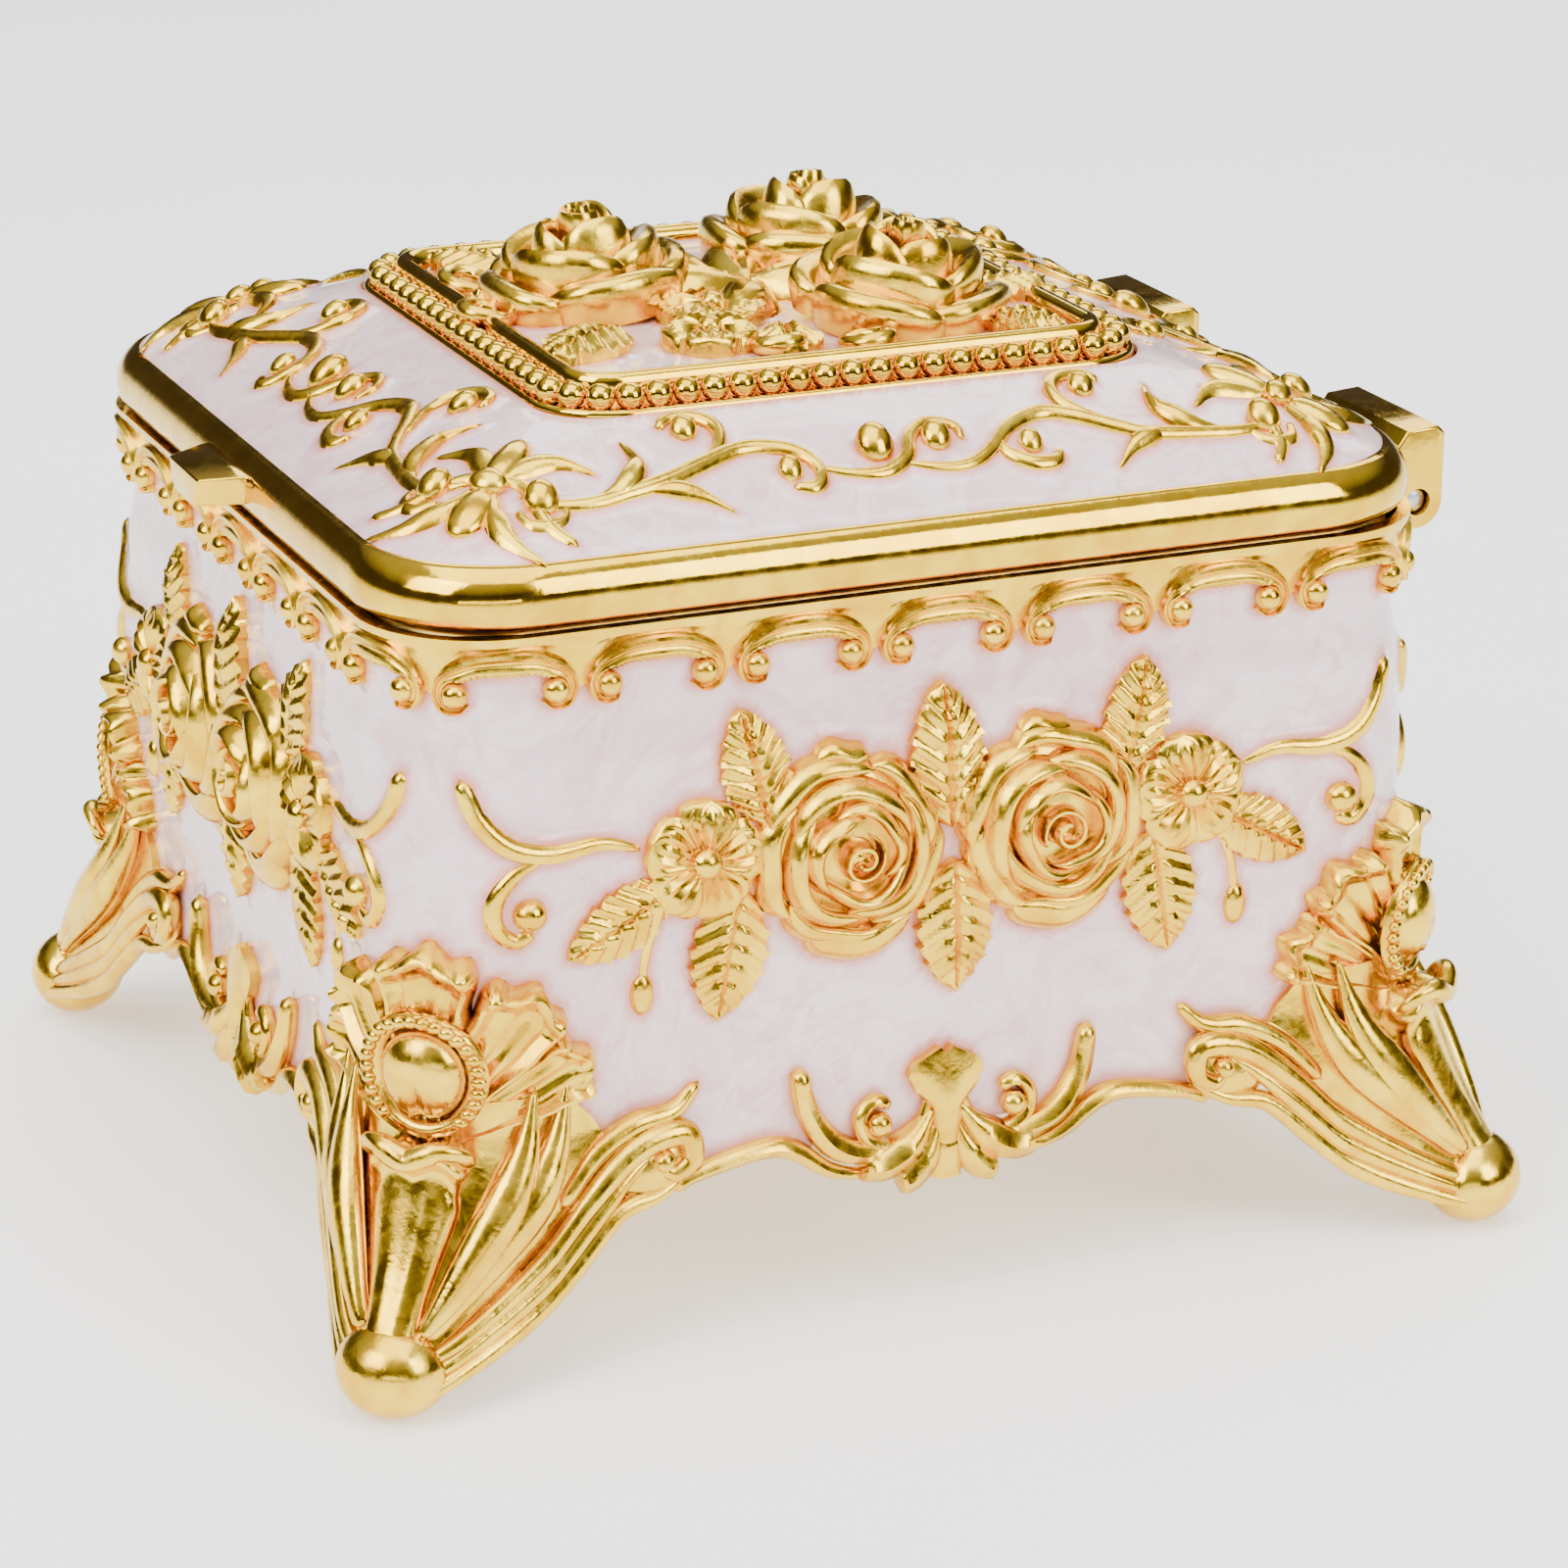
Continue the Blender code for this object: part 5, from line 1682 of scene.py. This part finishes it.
@dataclass
class CornerKnot:
    """Knot of curved petals on a corner of the lid, with a bead in a curl each side."""

    at: Flat = (30.2, 32.2)

    def flat(self) -> Casting:
        """The knot, unbent, with +Y towards the middle of the lid."""
        cast = Casting()
        cast.add(ball((1.35, 3.0, 1.0), 18, 10), (0, 3.8, 0.25))
        cast.add(ball((1.6, 2.5, 1.0), 18, 10), (0.1, -2.6, 0.25))
        for points, thick, start, end in (
            ([(0.5, 0.8), (1.5, 3.2), (3.4, 5.0), (6.4, 5.2)], 0.95, 0.5, 0.25),
            ([(0.6, 0.2), (2.0, -2.6), (4.2, -4.4), (7.2, -4.9)], 0.95, 0.5, 0.2),
            ([(0.2, 1.6), (2.4, 1.5), (4.4, -0.3), (6.2, -1.6), (8.2, -1.9)], 0.62, 0.7, 0.6),
            ([(3.0, -1.2), (4.8, -1.9), (6.2, -0.4), (5.8, 1.6)], 0.5, 0.7, 0.5),
        ):
            cast.both(lambda: stem(points, thick, start, end, 0.25, 0.85))
        cast.both(lambda: bead(1.35, 16, 10), (4.2, 0.5, 0.5))
        cast.add(ball((1.5, 1.1, 0.85), 14, 8), (0, 0.6, 0.7))
        return cast

    def build(self, corner: Corner) -> Casting:
        """The knot at a corner, in place."""
        return self.flat().bent(DOME.at_corner(corner, self.at))


@dataclass
class Bouquet:
    """What stands on the lid's panel round the roses: broad leaves, toothed leaves, small flowers and ribbon."""

    floor: float = 68.7
    roses: tuple[tuple[str, float, float, float], ...] = (
        ("lid_rose_right", 10.6, 8.6, 20.0), ("lid_rose_left", -7.0, 8.4, 140.0),
        ("lid_rose_front", -2.4, -11.8, 250.0),
    )
    rose: Rose = LID_ROSE

    def flowers(self) -> list[Casting]:
        """The three roses, in place, tipped outwards a little."""
        made: list[Casting] = []
        for _, x, y, turn in self.roses:
            cast = Casting()
            lean = Matrix.Rotation(math.radians(7), 4, Vector((-y, x, 0)).normalized())
            rose = self.rose.make(turn)
            bmesh.ops.transform(rose, matrix=lean, verts=rose.verts)
            cast.add(rose, (x, y, self.floor + 0.6))
            for vert in cast.bm.verts:
                vert.co.z = max(self.floor - 0.3, vert.co.z)
            made.append(cast)
        return made

    def greenery(self) -> Casting:
        """Leaves, blossoms and ribbon, in place."""
        cast = Casting()
        z = self.floor
        for x, y, turn, length, width, tall in (
            (1.0, 0.2, 170, 12.5, 6.0, 3.4), (0.6, 0.4, 262, 11.0, 6.0, 3.2), (0.4, 0.6, 80, 13.0, 6.2, 3.4),
            (-1.0, -1.5, 205, 13.5, 6.6, 3.2), (2.0, 1.0, 318, 9.0, 5.0, 3.0), (0.8, 2.0, 118, 13.0, 6.0, 3.2),
        ):
            cast.add(PlainLeaf(length, width, tall, sink=-0.6).make(), (x, y, z), turn)
        for x, y, turn, length, width in (
            (8.4, -13.4, -52, 9.6, 6.4), (12.6, -1.6, -18, 7.4, 5.4), (7.4, 15.4, 96, 8.0, 5.8),
            (16.0, 13.6, 48, 6.4, 4.8),
            (-12.6, -14.0, 214, 8.4, 6.0), (-3.0, -17.0, 262, 4.6, 4.4), (-15.4, 12.0, 128, 7.6, 5.6),
            (-15.0, -2.8, 186, 6.4, 5.0), (-2.0, 15.2, 100, 6.6, 5.2),
        ):
            cast.add(Leaf(length, width, 1.9, teeth=6, vein=0.26, sink=-0.6).make(), (x, y, z), turn)
        for x, y, size in ((6.4, -5.0, 4.4), (13.4, -8.0, 3.8), (-13.6, -7.8, 4.0), (1.6, 15.2, 3.8)):
            cast.add(Blossom(size, bead=0.95, sink=-0.6).make(), (x, y, z + 0.7), 24 * x)
        for x, y, turn in ((14.4, -4.0, 0), (16.6, 1.0, 40), (-8.0, -18.0, 200), (0.6, -18.6, 250)):
            loop = [(0, 0, 0), (1.6, 1.5, 0.4), (3.5, 1.5, 0.7), (4.2, 0, 0.8), (3.3, -1.4, 0.6), (1.5, -1.2, 0.3),
                    (0.4, 0.4, 0.1)]
            cast.add(rod(flowing(loop, 5), swelling(0.75, 0.7, 0.7), 8, 1.1), (x, y, z + 0.3), turn)
        cast.add(bead(1.3, 16, 10), (17.2, 6.6, z + 0.7))
        cast.add(bead(1.1, 16, 10), (15.6, -8.6, z + 1.0))
        return cast


@dataclass
class ThumbLift:
    """Faceted lug at the front of the rim."""

    rim: float = 42.2
    reach: float = 3.4
    root: tuple[Flat, ...] = ((-5.2, 58.0), (5.2, 58.0), (5.2, 60.2), (-5.2, 60.2))
    tip: tuple[Flat, ...] = ((-2.6, 57.5), (2.6, 57.5), (3.8, 59.9), (-3.8, 59.9))

    def build(self) -> Object:
        """The lug, with its edges eased."""
        rings = [[Vector((x, y, z)) for x, z in face] for y, face in
                 ((-self.rim + 0.4, self.root), (-self.rim - 0.3, self.root), (-self.rim - self.reach, self.tip))]
        cast = Casting()
        cast.bm = lofted(rings)
        bmesh.ops.bevel(cast.bm, geom=cast.bm.edges[:], offset=0.22, offset_type="OFFSET", segments=3, profile=0.5,
                        affect="EDGES", material=-1)
        return cast.store("thumb_lug", BRIGHT_GOLD, "lid", ["thumb_lift"], sharp=math.radians(60), outward=True)


@dataclass
class HingeArm:
    """Leaf on the back of the lid that reaches down round the pin."""

    axis: Flat = (46.0, 54.2)
    radius: float = 2.2
    bore: float = 1.08
    inner: float = 14.0
    outer: float = 27.0
    root: float = 42.4
    top: float = 60.2
    low: float = 56.9

    def build(self, word: str, way: int) -> Object:
        """One arm.

        Args:
            word: left or right, as the frame names it.
            way: 1 for the +X arm, -1 for the other.

        Returns:
            The arm, bored for the pin.
        """
        y, z = self.axis
        outline: list[Flat] = []
        for i in range(25):
            turn = math.radians(-180 * i / 24)
            outline.append((y + self.radius * math.cos(turn), z + self.radius * math.sin(turn)))
        outline += [(self.root, self.low), (self.root, self.top - 1.6), (self.root + 1.6, self.top - 1.5),
                    (self.root + 2.5, self.top - 0.2), (y + self.radius - 0.6, self.top),
                    (y + self.radius, self.top - 0.6)]
        x0, x1 = sorted((way * self.inner, way * self.outer))
        solid = lofted([[Vector((x, p, q)) for p, q in outline] for x in (x0, x1)])
        rim = [e for e in solid.edges if abs(e.verts[0].co.x - e.verts[1].co.x) < 1e-6]
        bmesh.ops.bevel(solid, geom=rim, offset=0.22, offset_type="OFFSET", segments=3, profile=0.5, affect="EDGES",
                        material=-1)
        cast = Casting()
        cast.add(solid)
        drill = Casting()
        path = [(x0 - 1, 0.0), (x0 - 1, 1.0), (x1 + 1, 1.0), (x1 + 1, 0.0)]

        def shape(u: float, v: float) -> Vector:
            """Point of the surface at shares u and v."""
            x, share = path[round(v * 3)]
            turn = math.tau * u
            return Vector((x, y + self.bore * share * math.cos(turn), z + self.bore * share * math.sin(turn)))

        drill.bm = surface(32, 3, shape)
        return bored(cast, drill, f"hinge_leaf_{word}", f"hinge_arm_{word}")


def bored(cast: Casting, drill: Casting, name: str, node: str) -> Object:
    """Cuts one solid from another and stores the result.

    Args:
        cast: The solid.
        drill: What is cut away.
        name: Name of the piece.
        node: The frame's node it stands for.

    Returns:
        The piece.
    """
    helpers: list[Object] = []
    for part, label in ((cast, "solid"), (drill, "drill")):
        bmesh.ops.recalc_face_normals(part.bm, faces=part.bm.faces)
        mesh = bpy.data.meshes.new(label)
        part.bm.to_mesh(mesh)
        part.bm.free()
        helper = bpy.data.objects.new(label, mesh)
        bpy.context.scene.collection.objects.link(helper)
        helpers.append(helper)
    cut = helpers[0].modifiers.new("bore", "BOOLEAN")
    cut.operation, cut.solver, cut.object = "DIFFERENCE", "EXACT", helpers[1]
    bpy.context.view_layer.update()
    graph = bpy.context.evaluated_depsgraph_get()
    result = Casting()
    result.bm.from_mesh(helpers[0].evaluated_get(graph).to_mesh())
    for helper in helpers:
        bpy.data.objects.remove(helper)
    return result.store(name, BRIGHT_GOLD, "lid", [node], sharp=math.radians(40))


# --------------------------------------------------------------------------------------------------------------
# The studio
# --------------------------------------------------------------------------------------------------------------


@dataclass(frozen=True)
class Softbox:
    """One area light aimed at the box."""

    name: str
    bearing: float
    height: float
    away: float
    size: tuple[float, float]
    power: float
    tint: tuple[float, float, float] = (1.0, 1.0, 1.0)

    def place(self) -> Object:
        """Adds the light to the scene."""
        lamp = bpy.data.lights.new(self.name, "AREA")
        lamp.shape = "RECTANGLE"
        lamp.size, lamp.size_y = self.size
        lamp.energy = self.power
        lamp.color = self.tint
        obj = bpy.data.objects.new(self.name, lamp)
        bpy.context.scene.collection.objects.link(obj)
        a, e = math.radians(self.bearing), math.radians(self.height)
        out = Vector((math.sin(a) * math.cos(e), -math.cos(a) * math.cos(e), math.sin(e)))
        obj.location = Vector((0, 0, 0.04)) + out * self.away
        obj.rotation_mode = "QUATERNION"
        obj.rotation_quaternion = out.to_track_quat("Z", "Y")
        return obj


@dataclass
class Studio:
    """Floor, light and camera."""

    bearing: float = 67.38
    height: float = 19.485
    away: float = 0.4021
    aim: float = 0.02834
    lens: float = 113.93
    shift: float = 0.0284
    floor_half: float = 4.0
    room: float = 0.85
    boxes: tuple[Softbox, ...] = field(default_factory=lambda: (
        Softbox("light_top", 60, 78, 0.75, (0.75, 0.75), 7.0),
        Softbox("light_key", 20, 38, 0.85, (0.5, 0.45), 6.0),
        Softbox("light_side", 118, 30, 0.85, (0.4, 0.5), 5.0),
        Softbox("light_back", 235, 40, 0.9, (0.7, 0.4), 3.5),
        Softbox("light_low", 66, 6, 1.1, (0.9, 0.12), 1.2),
    ))

    def build(self) -> None:
        """Sets up everything that isn't the box."""
        self.tabletop()
        self.sky()
        for box in self.boxes:
            box.place()
        self.camera()

    def tabletop(self) -> None:
        """Plain pale floor."""
        bm = bmesh.new()
        bmesh.ops.create_grid(bm, x_segments=2, y_segments=2, size=self.floor_half)
        mesh = bpy.data.meshes.new("studio_floor")
        bm.to_mesh(mesh)
        bm.free()
        mesh.materials.append(Tabletop("studio_floor", "").material())
        obj = bpy.data.objects.new("studio_floor", mesh)
        bpy.context.scene.collection.objects.link(obj)

    def sky(self) -> None:
        """Soft surrounding light: bright overhead, with a darker room round the horizon."""
        world = bpy.data.worlds.new("studio_room")
        world.use_nodes = True
        nodes, links = world.node_tree.nodes, world.node_tree.links
        place = nodes.new("ShaderNodeTexCoord")
        split = nodes.new("ShaderNodeSeparateXYZ")
        ramp = nodes.new("ShaderNodeValToRGB")
        links.new(place.outputs["Generated"], split.inputs[0])
        links.new(split.outputs["Z"], ramp.inputs["Fac"])
        stops = ((0.0, (0.50, 0.48, 0.46)), (0.06, (0.10, 0.08, 0.06)), (0.38, (0.08, 0.07, 0.06)),
                 (0.62, (0.62, 0.62, 0.63)),
                 (1.0, (1.0, 1.0, 1.0)))
        for i, (position, colour) in enumerate(stops):
            stop = ramp.color_ramp.elements[i] if i < 2 else ramp.color_ramp.elements.new(position)
            stop.position, stop.color = position, (*colour, 1)
        links.new(ramp.outputs["Color"], nodes["Background"].inputs["Color"])
        nodes["Background"].inputs["Strength"].default_value = self.room
        bpy.context.scene.world = world

    def camera(self) -> None:
        """Camera on the corner between the front and the right side."""
        lens = bpy.data.cameras.new("studio_camera")
        lens.lens, lens.shift_x = self.lens, self.shift
        lens.clip_start, lens.clip_end = 0.01, 20.0
        obj = bpy.data.objects.new("studio_camera", lens)
        bpy.context.scene.collection.objects.link(obj)
        a, e = math.radians(self.bearing), math.radians(self.height)
        out = Vector((math.sin(a) * math.cos(e), -math.cos(a) * math.cos(e), math.sin(e)))
        obj.location = Vector((0, 0, self.aim)) + out * self.away
        obj.rotation_mode = "QUATERNION"
        obj.rotation_quaternion = out.to_track_quat("Z", "Y")
        bpy.context.scene.camera = obj


# --------------------------------------------------------------------------------------------------------------
# Putting it together
# --------------------------------------------------------------------------------------------------------------


def tendril_nodes(corner: Corner) -> tuple[str, str]:
    """The frame's two tendrils at a corner."""
    return f"tendril_{corner.word}_a", f"tendril_{corner.word}_b"


def build_body() -> None:
    """Makes everything that stays put."""
    body = BodyCasting()
    body.tub()
    trees: list[BVHTree] = []
    gallery = Gallery().build()
    trees.append(gallery.tree())
    gallery.store("gallery_border", RELIEF_GOLD, "box", ["scallop_gallery"])
    for side in Side:
        for cast, name, node in ((Garland().build(side), "rose_garland_", "garland_"),
                                 (Palmette().build(side), "shell_palmette_", "palmette_")):
            trees.append(cast.tree())
            cast.store(name + side.word, RELIEF_GOLD, "box", [node + side.word])
    for corner in Corner:
        cast = Foot().build(corner)
        trees.append(cast.tree())
        cast.store("scroll_foot_" + corner.word, RELIEF_GOLD, "box", ["foot_" + corner.word])
        for way, node in zip((1, -1), tendril_nodes(corner)):
            cast = CornerTendril().build(corner, way)
            trees.append(cast.tree())
            cast.store(node.replace("tendril", "vine"), RELIEF_GOLD, "box", [node])
    body.fired(trees)
    HingeBarrel().build()
    FloorPad().build()


def build_lid() -> None:
    """Makes everything that turns with the lid."""
    LidCasting().build()
    enamel = LidEnamel()
    border: list[BVHTree] = []
    for side in Side:
        cast = BorderScroll().build(side)
        border.append(cast.tree())
        nodes = [f"lid_scroll_{side.word}_{hand}" for hand in "ab"]
        cast.store("border_scroll_" + side.word, RELIEF_GOLD, "lid", nodes)
    for corner in Corner:
        cast = CornerKnot().build(corner)
        border.append(cast.tree())
        cast.store("border_knot_" + corner.word, RELIEF_GOLD, "lid", ["lid_knot_" + corner.word])
    ring = BeadFrame().build()
    border.append(ring.tree())
    panel = [ring.tree()]
    ring.store("bead_frame_cast", BRIGHT_GOLD, "lid", ["bead_frame"])
    bouquet = Bouquet()
    for cast, (node, *_) in zip(bouquet.flowers(), bouquet.roses):
        panel.append(cast.tree())
        cast.store(node.replace("lid_rose", "bouquet_rose"), RELIEF_GOLD, "lid", [node])
    leaves = bouquet.greenery()
    panel.append(leaves.tree())
    leaves.store("bouquet_leaves", RELIEF_GOLD, "lid", ["lid_leaf_spray"])
    enamel.border(border)
    enamel.panel(panel)
    ThumbLift().build()
    for word, way in (("right", 1), ("left", -1)):
        HingeArm().build(word, way)


def main() -> None:
    """Builds the box, then the studio."""
    logging.basicConfig(level=logging.INFO, format="%(name)s %(message)s")
    build_body()
    build_lid()
    Studio().build()
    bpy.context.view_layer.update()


if __name__ == "__main__":
    main()
